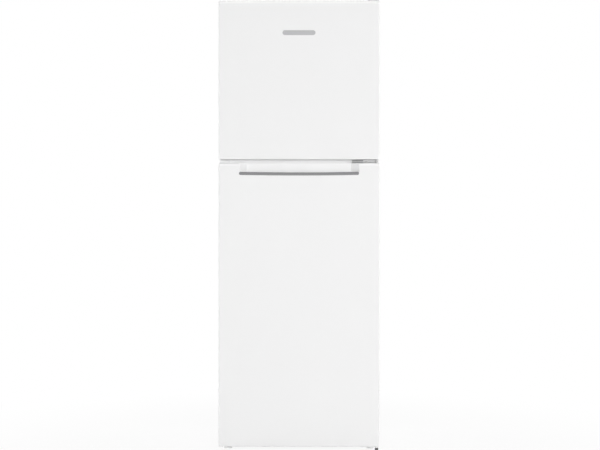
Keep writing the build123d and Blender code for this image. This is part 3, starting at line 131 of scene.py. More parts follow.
class FridgeShapes(PropertyGroup):
    """Sizes of the pieces that are made here."""

    bar_bow: length("Bar bow", "How much lower the grip bar is in its middle", 0.002)
    bar_end: length("Bar end", "Length of the rounding at each end of the grip bar", 0.004)
    plate_width: length("Plate width", "Width of the plate on the freezer door", 0.1114)
    plate_height: length("Plate height", "Height of that plate", 0.0164)
    plate_drop: length("Plate drop", "From the top of the freezer door to the middle of the plate", 0.1085)
    plate_seat: length("Plate seat", "Depth of the seat that the plate lies in", 0.0005)
    seal_width: length("Seal width", "Width of a door seal at its strips", 0.017)
    seal_neck: length("Seal neck", "Width of a door seal at its folds", 0.008)
    seal_fold: length("Seal fold", "Depth of the folds of a door seal", 0.0016)
    digit_height: length("Digit height", "Height of the numbers round the knob", 0.0030)
    digit_radius: length("Digit radius", "From the knob's axis to the middle of a number", 0.0181)
    digit_step: amount("Digit step", "Angle between two numbers", math.radians(45), subtype="ANGLE")
    ink_height: length("Ink height", "Half the thickness of the print", 0.00006)
    pointer_length: length("Pointer length", "Length of the line on the knob", 0.008)
    pointer_width: length("Pointer width", "Width of that line", 0.0014)
    pointer_height: length("Pointer height", "Thickness of that line in its middle", 0.0001)
    pointer_inset: length("Pointer inset", "From the rim of the knob to the middle of that line", 0.0075)


def new_finish(name):
    """An empty node material; gives it and its shader."""
    finish = bpy.data.materials.new(name)
    finish.use_nodes = True
    return finish, finish.node_tree.nodes["Principled BSDF"]


def add_node(finish, kind):
    """A new node in a finish."""
    return finish.node_tree.nodes.new(kind)


def join(finish, source, target):
    """A link between two sockets of a finish."""
    finish.node_tree.links.new(source, target)


def place(finish, stretch=(1.0, 1.0, 1.0)):
    """Object coordinates, multiplied along each axis."""
    coordinates = add_node(finish, "ShaderNodeTexCoord")
    mapping = add_node(finish, "ShaderNodeMapping")
    mapping.inputs["Scale"].default_value = stretch
    join(finish, coordinates.outputs["Object"], mapping.inputs["Vector"])
    return mapping.outputs["Vector"]


def clouds(finish, size, detail=2.0, stretch=(1.0, 1.0, 1.0)):
    """Soft noise with blobs of about that size."""
    noise = add_node(finish, "ShaderNodeTexNoise")
    noise.inputs["Scale"].default_value = 1 / size
    noise.inputs["Detail"].default_value = detail
    join(finish, place(finish, stretch), noise.inputs["Vector"])
    return noise.outputs["Fac"]


def cells(finish, size, output="Distance"):
    """Cell pattern with cells of about that size."""
    voronoi = add_node(finish, "ShaderNodeTexVoronoi")
    voronoi.inputs["Scale"].default_value = 1 / size
    join(finish, place(finish), voronoi.inputs["Vector"])
    return voronoi.outputs[output]


def spread(finish, pattern, low, high, target, start=0.3, end=0.7):
    """Carries a pattern to a number of the shader, between two values."""
    scale = add_node(finish, "ShaderNodeMapRange")
    scale.interpolation_type = "SMOOTHSTEP"
    scale.inputs["From Min"].default_value = start
    scale.inputs["From Max"].default_value = end
    scale.inputs["To Min"].default_value = low
    scale.inputs["To Max"].default_value = high
    join(finish, pattern, scale.inputs["Value"])
    join(finish, scale.outputs["Result"], target)


def shade(finish, pattern, first, second, target, start=0.3, end=0.7):
    """Carries a pattern to a colour of the shader, between two colours."""
    ramp = add_node(finish, "ShaderNodeValToRGB")
    ramp.color_ramp.interpolation = "EASE"
    lower, upper = ramp.color_ramp.elements
    lower.position = start
    upper.position = end
    lower.color = (*first, 1.0)
    upper.color = (*second, 1.0)
    join(finish, pattern, ramp.inputs["Fac"])
    join(finish, ramp.outputs["Color"], target)


def relief(finish, shader, pattern, depth, strength=0.5):
    """Bumps of that depth from a pattern, over the relief that is already there."""
    bump = add_node(finish, "ShaderNodeBump")
    bump.inputs["Distance"].default_value = depth
    bump.inputs["Strength"].default_value = strength
    join(finish, pattern, bump.inputs["Height"])
    if shader.inputs["Normal"].is_linked:
        join(finish, shader.inputs["Normal"].links[0].from_socket, bump.inputs["Normal"])
    join(finish, bump.outputs["Normal"], shader.inputs["Normal"])


def toned(base, factor):
    """A colour times a number."""
    return tuple(part * factor for part in base)


def paint_finish(name, base, peel=0.0032):
    """Baked gloss paint on sheet steel: faint clouds in the tone and a fine orange peel."""
    finish, shader = new_finish(name)
    shade(finish, clouds(finish, 0.4), toned(base, 0.992), base, shader.inputs["Base Color"])
    spread(finish, clouds(finish, 0.3), 0.28, 0.31, shader.inputs["Roughness"])
    relief(finish, shader, clouds(finish, peel, 0.0), 0.00004, 0.15)
    return finish


def moulded_finish(name, base, rough=0.42, grain=0.0011):
    """Moulded plastic with a fine grain."""
    finish, shader = new_finish(name)
    shade(finish, clouds(finish, 0.12), toned(base, 0.975), base, shader.inputs["Base Color"])
    spread(finish, clouds(finish, 0.03), rough - 0.04, rough + 0.05, shader.inputs["Roughness"])
    relief(finish, shader, clouds(finish, grain, 2.0), 0.00004, 0.4)
    return finish


def liner_finish(name, base):
    """Glossy sheet plastic drawn over a mould: slow waves and a clean shine."""
    finish, shader = new_finish(name)
    shade(finish, clouds(finish, 0.3), toned(base, 0.98), base, shader.inputs["Base Color"])
    spread(finish, clouds(finish, 0.05), 0.16, 0.26, shader.inputs["Roughness"])
    relief(finish, shader, clouds(finish, 0.06, 0.0), 0.0003, 0.2)
    relief(finish, shader, clouds(finish, 0.002, 1.0), 0.00003, 0.3)
    return finish


def zinc_finish(name, dark, bright, spangle, rough=0.38):
    """Zinc coated steel with crystal spangles."""
    finish, shader = new_finish(name)
    shader.inputs["Metallic"].default_value = 1.0
    crystals = cells(finish, spangle, "Color")
    shade(finish, crystals, (dark,) * 3, (bright,) * 3, shader.inputs["Base Color"], 0.1, 0.9)
    spread(finish, crystals, rough - 0.08, rough + 0.1, shader.inputs["Roughness"], 0.0, 1.0)
    relief(finish, shader, clouds(finish, spangle / 6), 0.00003, 0.4)
    return finish


def enamel_finish(name, base):
    """Black paint with a film of dust on what faces up."""
    finish, shader = new_finish(name)
    facing = add_node(finish, "ShaderNodeNewGeometry")
    upward = add_node(finish, "ShaderNodeSeparateXYZ")
    join(finish, facing.outputs["Normal"], upward.inputs["Vector"])
    film = add_node(finish, "ShaderNodeMath")
    film.operation = "MULTIPLY"
    join(finish, upward.outputs["Z"], film.inputs[0])
    join(finish, clouds(finish, 0.02, 4.0), film.inputs[1])
    dust = (0.05, 0.048, 0.045)
    shade(finish, film.outputs["Value"], base, dust, shader.inputs["Base Color"], 0.25, 0.75)
    spread(finish, clouds(finish, 0.03), 0.3, 0.42, shader.inputs["Roughness"])
    relief(finish, shader, clouds(finish, 0.004), 0.00008, 0.4)
    return finish


def copper_finish(name):
    """Drawn copper tube, brighter and browner in patches."""
    finish, shader = new_finish(name)
    shader.inputs["Metallic"].default_value = 1.0
    patches = clouds(finish, 0.025, 4.0)
    shade(finish, patches, (0.48, 0.22, 0.13), (0.80, 0.42, 0.27), shader.inputs["Base Color"])
    spread(finish, patches, 0.42, 0.24, shader.inputs["Roughness"])
    relief(finish, shader, clouds(finish, 0.0015), 0.00002, 0.4)
    return finish


def clear_finish(name, first, second, refraction, smooth, rough, clearness=1.0):
    """Clear or milky glass or plastic with faint smears."""
    finish, shader = new_finish(name)
    shader.inputs["Transmission Weight"].default_value = clearness
    shader.inputs["IOR"].default_value = refraction
    smears = clouds(finish, 0.06, 3.0)
    shade(finish, smears, first, second, shader.inputs["Base Color"])
    spread(finish, smears, smooth, rough, shader.inputs["Roughness"])
    relief(finish, shader, clouds(finish, 0.03, 0.0), 0.0002, 0.1)
    return finish


def rubber_finish(name, base, rough=0.62):
    """Soft vinyl or rubber, dull with a fine grain."""
    finish, shader = new_finish(name)
    shade(finish, clouds(finish, 0.05, 3.0), toned(base, 0.93), base, shader.inputs["Base Color"])
    spread(finish, clouds(finish, 0.01), rough - 0.06, rough + 0.1, shader.inputs["Roughness"])
    relief(finish, shader, clouds(finish, 0.0009), 0.00005, 0.4)
    return finish


def foam_finish(name):
    """Rigid insulating foam, with small cells."""
    finish, shader = new_finish(name)
    dark = (0.70, 0.56, 0.28)
    pale = (0.80, 0.68, 0.40)
    shade(finish, clouds(finish, 0.04, 4.0), dark, pale, shader.inputs["Base Color"])
    spread(finish, clouds(finish, 0.01), 0.8, 0.95, shader.inputs["Roughness"])
    relief(finish, shader, cells(finish, 0.0022), 0.0008, 0.6)
    return finish


def brushed_finish(name, base, metallic, rough):
    """Metal or metallic lacquer brushed along X."""
    finish, shader = new_finish(name)
    shader.inputs["Metallic"].default_value = metallic
    strokes = clouds(finish, 0.0006, 3.0, (0.02, 1.0, 1.0))
    shade(finish, strokes, toned(base, 0.93), base, shader.inputs["Base Color"])
    spread(finish, strokes, rough, rough + 0.1, shader.inputs["Roughness"])
    relief(finish, shader, strokes, 0.00001, 0.3)
    return finish


def dress(finish, *names):
    """Gives a finish to nodes of the frame."""
    for name in names:
        if not nodes[name].material_slots:
            nodes[name].data.materials.append(finish)
        for material_slot in nodes[name].material_slots:
            material_slot.material = finish


def grid_faces(rows, columns, wrap_rows=False, wrap_columns=False):
    """Quads between the points of a grid; wrapping joins its last row or column to its first."""
    index = np.arange(rows * columns).reshape(rows, columns)
    if wrap_rows:
        index = np.vstack((index, index[:1]))
    if wrap_columns:
        index = np.hstack((index, index[:, :1]))
    corners = (index[:-1, :-1], index[1:, :-1], index[1:, 1:], index[:-1, 1:])
    return np.stack(corners, axis=-1).reshape(-1, 4)


def tube_faces(rows, columns):
    """Faces of rings in a row, closed by one face at each end."""
    first = np.arange(columns)
    last = first[::-1] + (rows - 1) * columns
    return [*grid_faces(rows, columns, wrap_columns=True).tolist(), first.tolist(), last.tolist()]


def turn_outward(mesh):
    """Turns the faces of a closed mesh round if its signed volume is negative. The volume is the sum of
    the triple products of its triangles' corners."""
    mesh.calc_loop_triangles()
    points = np.empty(len(mesh.vertices) * 3)
    mesh.vertices.foreach_get("co", points)
    corners = np.empty(len(mesh.loop_triangles) * 3, int)
    mesh.loop_triangles.foreach_get("vertices", corners)
    one, two, three = points.reshape(-1, 3)[corners.reshape(-1, 3)].transpose(1, 0, 2)
    if np.sum(np.cross(one, two) * three) < 0:
        mesh.flip_normals()


def add_piece(name, body, finish, points, faces, crease=40.0):
    """A piece from points and closed faces, smooth but for edges sharper than the crease in degrees."""
    mesh = bpy.data.meshes.new(name)
    mesh.from_pydata(np.reshape(points, (-1, 3)).tolist(), [], [list(face) for face in faces])
    turn_outward(mesh)
    mesh.polygons.foreach_set("use_smooth", np.ones(len(mesh.polygons), bool))
    mesh.set_sharp_from_angle(angle=math.radians(crease))
    mesh.materials.append(finish)
    piece = bpy.data.objects.new(name, mesh)
    bpy.context.scene.collection.objects.link(piece)
    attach(piece, body)
    return piece


def pill_outline(width, height, count):
    """Two half circles joined by straight sides, as X and Z: the middle of the circle slides from one
    end to the other while the angle passes a quarter turn."""
    angle = np.linspace(0, 2 * np.pi, count, endpoint=False)
    radius = height / 2
    slide = np.clip(12 * np.cos(angle), -1, 1) * (width / 2 - radius)
    return slide + radius * np.cos(angle), radius * np.sin(angle)


def pill_plate(centre, width, height, back, edge, crown, count=96):
    """Points of a pill shaped plate that faces -Y: rings shrink from the rim to the middle while the face
    rises from the edge depth to the crown by one minus the fourth power of the ring's size."""
    outline_x, outline_z = pill_outline(width, height, count)
    size = np.array([1.0, 1.0, 0.985, 0.94, 0.8, 0.6, 0.35, 0.08])[:, None]
    depth = edge + (crown - edge) * (1 - size**4)
    depth[0] = back
    depth[1] = edge
    x = centre[0] + size * outline_x
    z = centre[1] + size * outline_z
    return np.stack((x, np.broadcast_to(depth, x.shape), z), axis=-1)


class FRIDGE_OT_stage(Operator):
    """Camera, white floor, light from all round and five soft lamps."""

    bl_idname = "fridge.stage"
    bl_label = "Stage"

    def execute(self, context):
        scene = context.scene
        view = scene.fridge_view
        scene.view_settings.view_transform = "Standard"

        lens = bpy.data.cameras.new("camera")
        lens.lens = lens.sensor_width * view.distance / (view.picture_width * view.pixel)
        camera = bpy.data.objects.new("camera", lens)
        camera.location = (view.aim_x, door_front - view.distance, view.aim_z)
        camera.rotation_euler = (math.radians(90), 0, 0)
        scene.collection.objects.link(camera)
        scene.camera = camera

        front_spot = (0.55, -6.0, 0.98)
        top_spot = (0.0, 0.9, 4.0)
        self.hang_lamp(scene, "front_lamp", view.front_power, (3.0, 0.5), front_spot, (90, 0, 5))
        self.hang_lamp(scene, "top_lamp", view.top_power, (3.0, 3.0), top_spot, (0, 0, 0))
        lamps_round = (
            ("right_lamp", view.side_power, view.side_turn),
            ("left_lamp", view.side_power, -view.side_turn),
            ("back_lamp", view.back_power, math.pi),
        )
        for name, power, turn in lamps_round:
            x = view.side_reach * math.sin(turn)
            y = -view.side_reach * math.cos(turn)
            spot = (x, y, view.side_height)
            self.hang_lamp(scene, name, power, (2.2, 1.8), spot, (90, 0, math.degrees(turn)))
        self.light_all_round(scene, view)
        self.lay_floor(scene, view)
        return {"FINISHED"}

    def hang_lamp(self, scene, name, power, size, spot, angles):
        """A soft lamp that lights but that shiny surfaces don't show."""
        light = bpy.data.lights.new(name, "AREA")
        light.energy = power
        light.shape = "RECTANGLE"
        light.size, light.size_y = size
        lamp = bpy.data.objects.new(name, light)
        lamp.location = spot
        lamp.rotation_euler = [math.radians(angle) for angle in angles]
        lamp.visible_glossy = False
        scene.collection.objects.link(lamp)

    def seen(self, tree):
        """1 for rays of the camera and for rays that mirrors and glass send on."""
        path = tree.nodes.new("ShaderNodeLightPath")
        total = path.outputs["Is Camera Ray"]
        for name in ("Is Glossy Ray", "Is Transmission Ray"):
            either = tree.nodes.new("ShaderNodeMath")
            either.operation = "MAXIMUM"
            tree.links.new(total, either.inputs[0])
            tree.links.new(path.outputs[name], either.inputs[1])
            total = either.outputs["Value"]
        return total

    def light_all_round(self, scene, view):
        """A world that lights evenly and looks white."""
        world = bpy.data.worlds.new("studio")
        world.use_nodes = True
        scene.world = world
        tree = world.node_tree
        light = tree.nodes["Background"]
        light.inputs["Color"].default_value = (1.0, 1.0, 1.0, 1.0)
        light.inputs["Strength"].default_value = view.ambient
        white = tree.nodes.new("ShaderNodeBackground")
        white.inputs["Color"].default_value = (1.0, 1.0, 1.0, 1.0)
        white.inputs["Strength"].default_value = 1.0
        mix = tree.nodes.new("ShaderNodeMixShader")
        tree.links.new(self.seen(tree), mix.inputs["Fac"])
        tree.links.new(light.outputs["Background"], mix.inputs[1])
        tree.links.new(white.outputs["Background"], mix.inputs[2])
        tree.links.new(mix.outputs["Shader"], tree.nodes["World Output"].inputs["Surface"])

    def lay_floor(self, scene, view):
        """A wide white floor that looks white and keeps a share of the shadow."""
        finish, shader = new_finish("floor_white")
        tree = finish.node_tree
        shade(finish, clouds(finish, 2.0), (0.90,) * 3, (0.92,) * 3, shader.inputs["Base Color"])
        shader.inputs["Roughness"].default_value = 1.0
        shader.inputs["Specular IOR Level"].default_value = 0.0
        glow = tree.nodes.new("ShaderNodeEmission")
        share = tree.nodes.new("ShaderNodeMath")
        share.operation = "MULTIPLY"
        near = tree.nodes.new("ShaderNodeTexGradient")
        near.gradient_type = "SPHERICAL"
        tree.links.new(place(finish, (1 / view.shadow_reach,) * 3), near.inputs["Vector"])
        spread(finish, near.outputs["Fac"], 1.0, 1 - view.shadow, share.inputs[1], 0.0, 0.6)
        mix = tree.nodes.new("ShaderNodeMixShader")
        tree.links.new(self.seen(tree), share.inputs[0])
        tree.links.new(share.outputs["Value"], mix.inputs["Fac"])
        tree.links.new(shader.outputs["BSDF"], mix.inputs[1])
        tree.links.new(glow.outputs["Emission"], mix.inputs[2])
        tree.links.new(mix.outputs["Shader"], tree.nodes["Material Output"].inputs["Surface"])

        reach = np.linspace(-view.floor_reach, view.floor_reach, 3)
        x, y = np.meshgrid(reach, reach)
        points = np.stack((x, y, np.zeros_like(x)), axis=-1).reshape(-1, 3)
        mesh = bpy.data.meshes.new("floor")
        mesh.from_pydata(points.tolist(), [], grid_faces(len(reach), len(reach))[:, ::-1].tolist())
        mesh.materials.append(finish)
        floor = bpy.data.objects.new("floor", mesh)
        scene.collection.objects.link(floor)


class FRIDGE_OT_cabinet(Operator):
    """Painted sides, top and base, zinc coated back and compressor deck, foam in the walls."""

    bl_idname = "fridge.cabinet"
    bl_label = "Cabinet"

    def execute(self, context):
        colours = context.scene.fridge_colours
        paint = paint_finish("cabinet_paint", tuple(colours.paint), 0.0022)
        dress(paint, "left_side_panel", "right_side_panel", "top_panel", "base_pan")
        # The rail is 7 % lighter than the cabinet paint: painted light, to brighten the gap between the
        # doors where the rail lies in shade.
        dress(paint_finish("rail_paint_painted_light", toned(colours.paint, 1.07), 0.0022), "mullion_rail")
        zinc = zinc_finish("back_zinc", 0.53, 0.60, 0.011)
        dress(zinc, "back_panel", "compressor_deck")
        foam = foam_finish("wall_foam")
        dress(foam, "cabinet_foam", "fridge_door_foam", "freezer_door_foam")
        return {"FINISHED"}


class FRIDGE_OT_doors(Operator):
    """Painted door fronts and their white end caps, the bottom caps made darker as painted shade."""

    bl_idname = "fridge.doors"
    bl_label = "Doors"

    def execute(self, context):
        colours = context.scene.fridge_colours
        dress(paint_finish("door_paint", tuple(colours.paint)), "fridge_door_skin", "freezer_door_skin")
        caps = moulded_finish("cap_white", tuple(colours.caps), 0.34)
        dress(caps, "fridge_door_top_cap", "freezer_door_top_cap")
        # The bottom caps are 5.5 % darker than the top caps: painted shade for undersides that get little
        # light from below.
        bottom_caps_painted_shade = moulded_finish("bottom_cap_white_painted_shade", toned(colours.caps, 0.945), 0.34)
        dress(bottom_caps_painted_shade, "fridge_door_bottom_cap", "freezer_door_bottom_cap")
        return {"FINISHED"}


class FRIDGE_OT_grip_bar(Operator):
    """Grey bar along the front of the finger grip."""

    bl_idname = "fridge.grip_bar"
    bl_label = "Grip bar"

    def execute(self, context):
        shapes = context.scene.fridge_shapes
        low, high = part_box("handle_bar")
        finish = brushed_finish("bar_lacquer", tuple(context.scene.fridge_colours.handle), 0.0, 0.3)
        points = self.bar_points(low, high, shapes.bar_bow, shapes.bar_end)
        bar = add_piece(
            "grip_bar", "fridge_door", finish, points, tube_faces(*points.shape[:2])
        )
        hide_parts("handle_bar")
        return {"FINISHED"}

    def bar_points(self, low, high, bow, end):
        """A rounded rectangle carried along X on a parabola that sags by the bow. The section is the
        superellipse of power four, and it shrinks on a quarter circle over the length of each end."""
        along = np.linspace(0, np.pi, 97)
        half = (high.x - low.x) / 2
        x = -half * np.cos(along)
        into = np.clip((np.abs(x) - (half - end)) / end, 0, 1)
        size = np.maximum(np.sqrt(1 - into**2), 0.12)[:, None]
        around = np.linspace(0, 2 * np.pi, 32, endpoint=False)
        lobe_y = np.sign(np.cos(around)) * np.sqrt(np.abs(np.cos(around)))
        lobe_z = np.sign(np.sin(around)) * np.sqrt(np.abs(np.sin(around)))
        half_depth = (high.y - low.y) / 2
        half_height = (high.z - low.z - bow) / 2
        middle = high.z - half_height - bow * (1 - (x / half) ** 2)
        y = low.y + half_depth + half_depth * lobe_y * (0.5 + 0.5 * size)
        z = middle[:, None] + half_height * lobe_z * size
        return np.stack((np.broadcast_to(x[:, None], z.shape), y, z), axis=-1)


class FRIDGE_OT_plate(Operator):
    """Bare metal plate in its seat on the freezer door."""

    bl_idname = "fridge.plate"
    bl_label = "Plate"

    def execute(self, context):
        shapes = context.scene.fridge_shapes
        finish = brushed_finish("plate_metal", tuple(context.scene.fridge_colours.plate), 0.35, 0.34)
        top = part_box("freezer_door_top_cap")[1].z
        points = pill_plate(
            (0.0, top - shapes.plate_drop),
            shapes.plate_width,
            shapes.plate_height,
            door_front + shapes.plate_seat,
            door_front + shapes.plate_seat * 0.4,
            door_front,
        )
        add_piece(
            "door_plate", "freezer_door", finish, points, tube_faces(*points.shape[:2])
        )
        return {"FINISHED"}


class FRIDGE_OT_hinges(Operator):
    """Zinc plated hinges, pins and screws, the painted bottom hinge and the cover on the top one."""

    bl_idname = "fridge.hinges"
    bl_label = "Hinges"

    def execute(self, context):
        colours = context.scene.fridge_colours
        zinc = zinc_finish("hinge_zinc", 0.60, 0.72, 0.003, 0.34)
        dress(zinc, "top_hinge", "middle_hinge", "cabinet_screws")
        dress(paint_finish("plate_paint", tuple(colours.paint), 0.0016), "bottom_hinge")
        dress(self.pin_finish("pin_steel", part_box("fridge_door_bottom_cap")[1].z), "hinge_pins")
        dress(moulded_finish("cover_white", toned(colours.caps, 0.80), 0.44), "top_hinge_cover")
        return {"FINISHED"}

    def pin_finish(self, name, height):
        """Steel that is near black below a height, on the lowest pin, and zinc plated above it."""
        finish, shader = new_finish(name)
        shader.inputs["Metallic"].default_value = 1.0
        across = add_node(finish, "ShaderNodeSeparateXYZ")
        join(finish, place(finish), across.inputs["Vector"])
        up = across.outputs["Z"]
        shade(finish, up, (0.14,) * 3, (0.66,) * 3, shader.inputs["Base Color"], height, height + 0.01)
        spread(finish, clouds(finish, 0.002), 0.3, 0.42, shader.inputs["Roughness"])
        relief(finish, shader, clouds(finish, 0.0008), 0.00002, 0.4)
        return finish


class FRIDGE_OT_liners(Operator):
    """Glossy white liners of both rooms and both doors, and the plates behind them."""

    bl_idname = "fridge.liners"
    bl_label = "Liners"

    def execute(self, context):
        liner = liner_finish("liner_gloss", tuple(context.scene.fridge_colours.liner))
        dress(liner, "fridge_liner", "freezer_liner", "fridge_door_liner", "freezer_door_liner")
        dress(brushed_finish("evaporator_metal", (0.78, 0.78, 0.8), 1.0, 0.32), "evaporator")
        return {"FINISHED"}


class FRIDGE_OT_seals(Operator):
    """Folded vinyl seals round the backs of the doors."""

    bl_idname = "fridge.seals"
    bl_label = "Seals"

    def execute(self, context):
        shapes = context.scene.fridge_shapes
        finish = rubber_finish("seal_vinyl", tuple(context.scene.fridge_colours.seal), 0.55)
        for door in ("fridge", "freezer"):
            low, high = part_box(f"{door}_door_seal")
            points = self.ring_points(low, high, shapes)
            seal = add_piece(
                f"{door}_seal",
                f"{door}_door",
                finish,
                points,
                grid_faces(*points.shape[:2], wrap_rows=True, wrap_columns=True),
            )
            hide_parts(f"{door}_door_seal")
        return {"FINISHED"}

    def ring_points(self, low, high, shapes):
        """A section carried round a rectangle with mitred corners. Across its depth the section is as
        wide as its strips at both ends and, between them, as its neck plus a cosine of three folds."""
        depth = np.linspace(0, 1, 41)
        ends = np.clip((np.abs(2 * depth - 1) - 0.40) / 0.14, 0, 1)
        ends = ends * ends * (3 - 2 * ends)
        width = shapes.seal_width
        folded = shapes.seal_neck / 2 + shapes.seal_fold * np.cos(6 * np.pi * depth)
        half = folded + (width / 2 - folded) * ends
        inset = np.concatenate((width / 2 - half, (width / 2 + half)[::-1]))
        level = np.concatenate((depth, depth[::-1]))
        side_x = np.array([-1, 1, 1, -1])[:, None]
        side_z = np.array([-1, -1, 1, 1])[:, None]
        x = (low.x + high.x) / 2 + side_x * ((high.x - low.x) / 2 - inset)
        z = (low.z + high.z) / 2 + side_z * ((high.z - low.z) / 2 - inset)
        y = np.broadcast_to(low.y + level * (high.y - low.y), x.shape)
        return np.stack((x, y, z), axis=-1)


class FRIDGE_OT_bins(Operator):
    """Faintly milky clear bins on the doors, and the crisper drawer."""

    bl_idname = "fridge.bins"
    bl_label = "Bins"

    def execute(self, context):
        cool = (0.975, 0.985, 0.99)
        pale = (0.985, 0.99, 0.995)
        clear = clear_finish("bin_clear", cool, pale, 1.49, 0.02, 0.06, 0.8)
        dress(clear, "fridge_bin_bottle", "fridge_bin_middle", "fridge_bin_upper")
        dress(clear, "freezer_bin_lower", "freezer_bin_upper", "crisper_drawer")
        return {"FINISHED"}


class FRIDGE_OT_shelves(Operator):
    """Glass shelves with their trims, and the coated wire shelf."""

    bl_idname = "fridge.shelves"
    bl_label = "Shelves"

    def execute(self, context):
        green = (0.93, 0.975, 0.96)
        pale = (0.95, 0.985, 0.97)
        glass = clear_finish("shelf_glass", green, pale, 1.52, 0.0, 0.03)
        dress(glass, "upper_shelf_glass", "lower_shelf_glass", "crisper_cover_glass")
        dress(moulded_finish("trim_white", (0.76, 0.77, 0.78), 0.3), "shelf_trims")
        dress(moulded_finish("wire_coat", (0.84, 0.84, 0.84), 0.36), "freezer_shelf")
        return {"FINISHED"}


class FRIDGE_OT_control_box(Operator):
    """Thermostat box with its knob, the numbers round it and the lamp cover."""

    bl_idname = "fridge.control_box"
    bl_label = "Control box"

    def execute(self, context):
        colours = context.scene.fridge_colours
        dress(moulded_finish("box_white", toned(colours.caps, 0.98), 0.36), "control_housing")
        dress(moulded_finish("knob_grey", (0.58, 0.59, 0.6), 0.34), "thermostat_knob")
        dress(moulded_finish("thermostat_black", (0.03, 0.03, 0.03), 0.45), "thermostat")
        cool = (0.90, 0.91, 0.92)
        frosted = clear_finish("lamp_frost", cool, (0.95,) * 3, 1.49, 0.45, 0.6, 0.3)
        dress(frosted, "lamp_cover")
        ink = moulded_finish("dial_ink", tuple(colours.ink), 0.5)
        self.print_numbers(context.scene.fridge_shapes, ink)
        self.mark_knob(context.scene.fridge_shapes, ink)
        return {"FINISHED"}

    def print_numbers(self, shapes, ink):
        """The numbers 1 to 7 on the front of the box, in steps round the knob's axis."""
        low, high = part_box("thermostat_knob")
        centre = np.array(((low.x + high.x) / 2, (low.z + high.z) / 2))
        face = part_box("control_housing")[0].y
        points, faces = [], []
        start = 0
        for step in range(-3, 4):
            corners, sides = self.digit(str(step + 4), shapes)
            turn = step * shapes.digit_step
            spot = centre + shapes.digit_radius * np.array((math.sin(turn), math.cos(turn)))
            points.append(np.stack((
                spot[0] + corners[:, 0],
                face - shapes.ink_height - corners[:, 2],
                spot[1] + corners[:, 1],
            ), axis=-1))
            faces.extend([[index + start for index in side] for side in sides])
            start += len(corners)
        add_piece("dial_numbers", "cabinet", ink, np.concatenate(points), faces)

    def digit(self, text, shapes):
        """Points and faces of one thin number, with its middle at the origin."""
        curve = bpy.data.curves.new("digit", "FONT")
        curve.body = text
        curve.size = shapes.digit_height * 1.4
        curve.extrude = shapes.ink_height
        curve.resolution_u = 4
        holder = bpy.data.objects.new("digit", curve)
        bpy.context.scene.collection.objects.link(holder)
        bpy.context.view_layer.update()
        mesh = bpy.data.meshes.new_from_object(holder)
        corners = np.empty(len(mesh.vertices) * 3)
        mesh.vertices.foreach_get("co", corners)
        corners = corners.reshape(-1, 3)
        corners[:, :2] -= (corners[:, :2].min(0) + corners[:, :2].max(0)) / 2
        sides = [list(side.vertices) for side in mesh.polygons]
        bpy.data.objects.remove(holder)
        bpy.data.meshes.remove(mesh)
        bpy.data.curves.remove(curve)
        return corners, sides

    def mark_knob(self, shapes, ink):
        """A printed line at the end of the knob's bar, as its pointer."""
        low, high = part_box("thermostat_knob")
        across = (low.x + high.x) / 2
        points = pill_plate(
            (across, 0.0),
            shapes.pointer_length,
            shapes.pointer_width,
            low.y,
            low.y - shapes.pointer_height / 2,
            low.y - shapes.pointer_height,
            48,
        )
        turned = points.copy()
        turned[..., 0] = across + points[..., 2]
        turned[..., 2] = high.z - shapes.pointer_inset + points[..., 0] - across
        add_piece(
            "knob_pointer", "thermostat_knob", ink, turned, tube_faces(*turned.shape[:2])
        )


class FRIDGE_OT_cooling_circuit(Operator):
    """Compressor, condenser, tubes, tray and drain."""

    bl_idname = "fridge.cooling_circuit"
    bl_label = "Cooling circuit"

    def execute(self, context):
        enamel = enamel_finish("circuit_enamel", tuple(context.scene.fridge_colours.enamel))
        dress(enamel, "compressor", "condenser_tube", "condenser_wires")
        dress(copper_finish("tube_copper"), "copper_tubes")
        dress(moulded_finish("relay_black", (0.022, 0.022, 0.023), 0.4), "relay_cover")
        dress(moulded_finish("tray_grey", (0.56, 0.57, 0.58), 0.4), "evaporation_tray", "drain_tube")
        dress(moulded_finish("clip_white", (0.7, 0.7, 0.7), 0.42), "condenser_clips")
        rubber = rubber_finish("grommet_rubber", (0.022,) * 3, 0.72)
        dress(rubber, "compressor_grommets", "lead_gland")
        return {"FINISHED"}


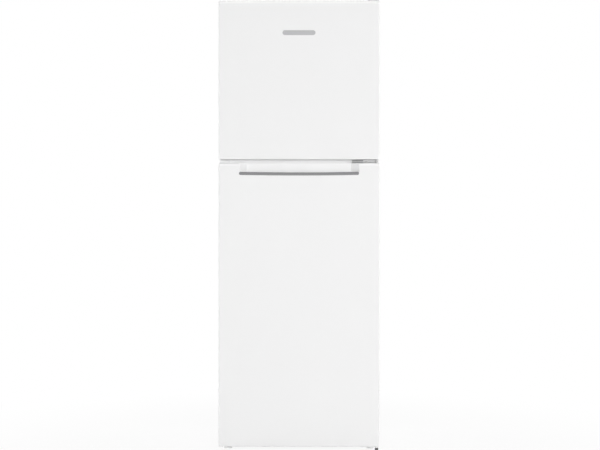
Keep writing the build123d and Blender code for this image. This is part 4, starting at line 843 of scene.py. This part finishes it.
class FRIDGE_OT_feet(Operator):
    """Front feet and rear rollers."""

    bl_idname = "fridge.feet"
    bl_label = "Feet"

    def execute(self, context):
        foot_white = moulded_finish("foot_white", (0.92,) * 3, 0.46)
        dress(foot_white, "front_foot_left", "front_foot_right")
        roller_black = moulded_finish("roller_black", (0.03,) * 3, 0.5)
        dress(roller_black, "rear_roller_left", "rear_roller_right")
        return {"FINISHED"}


operators = (
    FRIDGE_OT_stage,
    FRIDGE_OT_cabinet,
    FRIDGE_OT_doors,
    FRIDGE_OT_grip_bar,
    FRIDGE_OT_plate,
    FRIDGE_OT_hinges,
    FRIDGE_OT_liners,
    FRIDGE_OT_seals,
    FRIDGE_OT_bins,
    FRIDGE_OT_shelves,
    FRIDGE_OT_control_box,
    FRIDGE_OT_cooling_circuit,
    FRIDGE_OT_feet,
)
settings = {"fridge_view": FridgeView, "fridge_colours": FridgeColours, "fridge_shapes": FridgeShapes}


class FRIDGE_PT_panel(Panel):
    """Lists the settings and the pieces."""

    bl_idname = "FRIDGE_PT_panel"
    bl_label = "Refrigerator"
    bl_space_type = "VIEW_3D"
    bl_region_type = "UI"
    bl_category = "Refrigerator"

    def draw(self, context):
        for name, group in settings.items():
            column = self.layout.column(align=True)
            for key in group.__annotations__:
                column.prop(getattr(context.scene, name), key)
        for operator in operators:
            self.layout.operator(operator.bl_idname)


def register():
    """Makes the settings, the operators and the panel known."""
    for name, group in settings.items():
        bpy.utils.register_class(group)
        setattr(bpy.types.Scene, name, PointerProperty(type=group))
    for kind in (*operators, FRIDGE_PT_panel):
        bpy.utils.register_class(kind)


def unregister():
    """Takes them away again."""
    for kind in reversed((*operators, FRIDGE_PT_panel)):
        bpy.utils.unregister_class(kind)
    for name, group in settings.items():
        delattr(bpy.types.Scene, name)
        bpy.utils.unregister_class(group)


def main():
    """Dresses the whole refrigerator."""
    register()
    for operator in operators:
        group, name = operator.bl_idname.split(".")
        getattr(getattr(bpy.ops, group), name)()


if __name__ == "__main__":
    main()
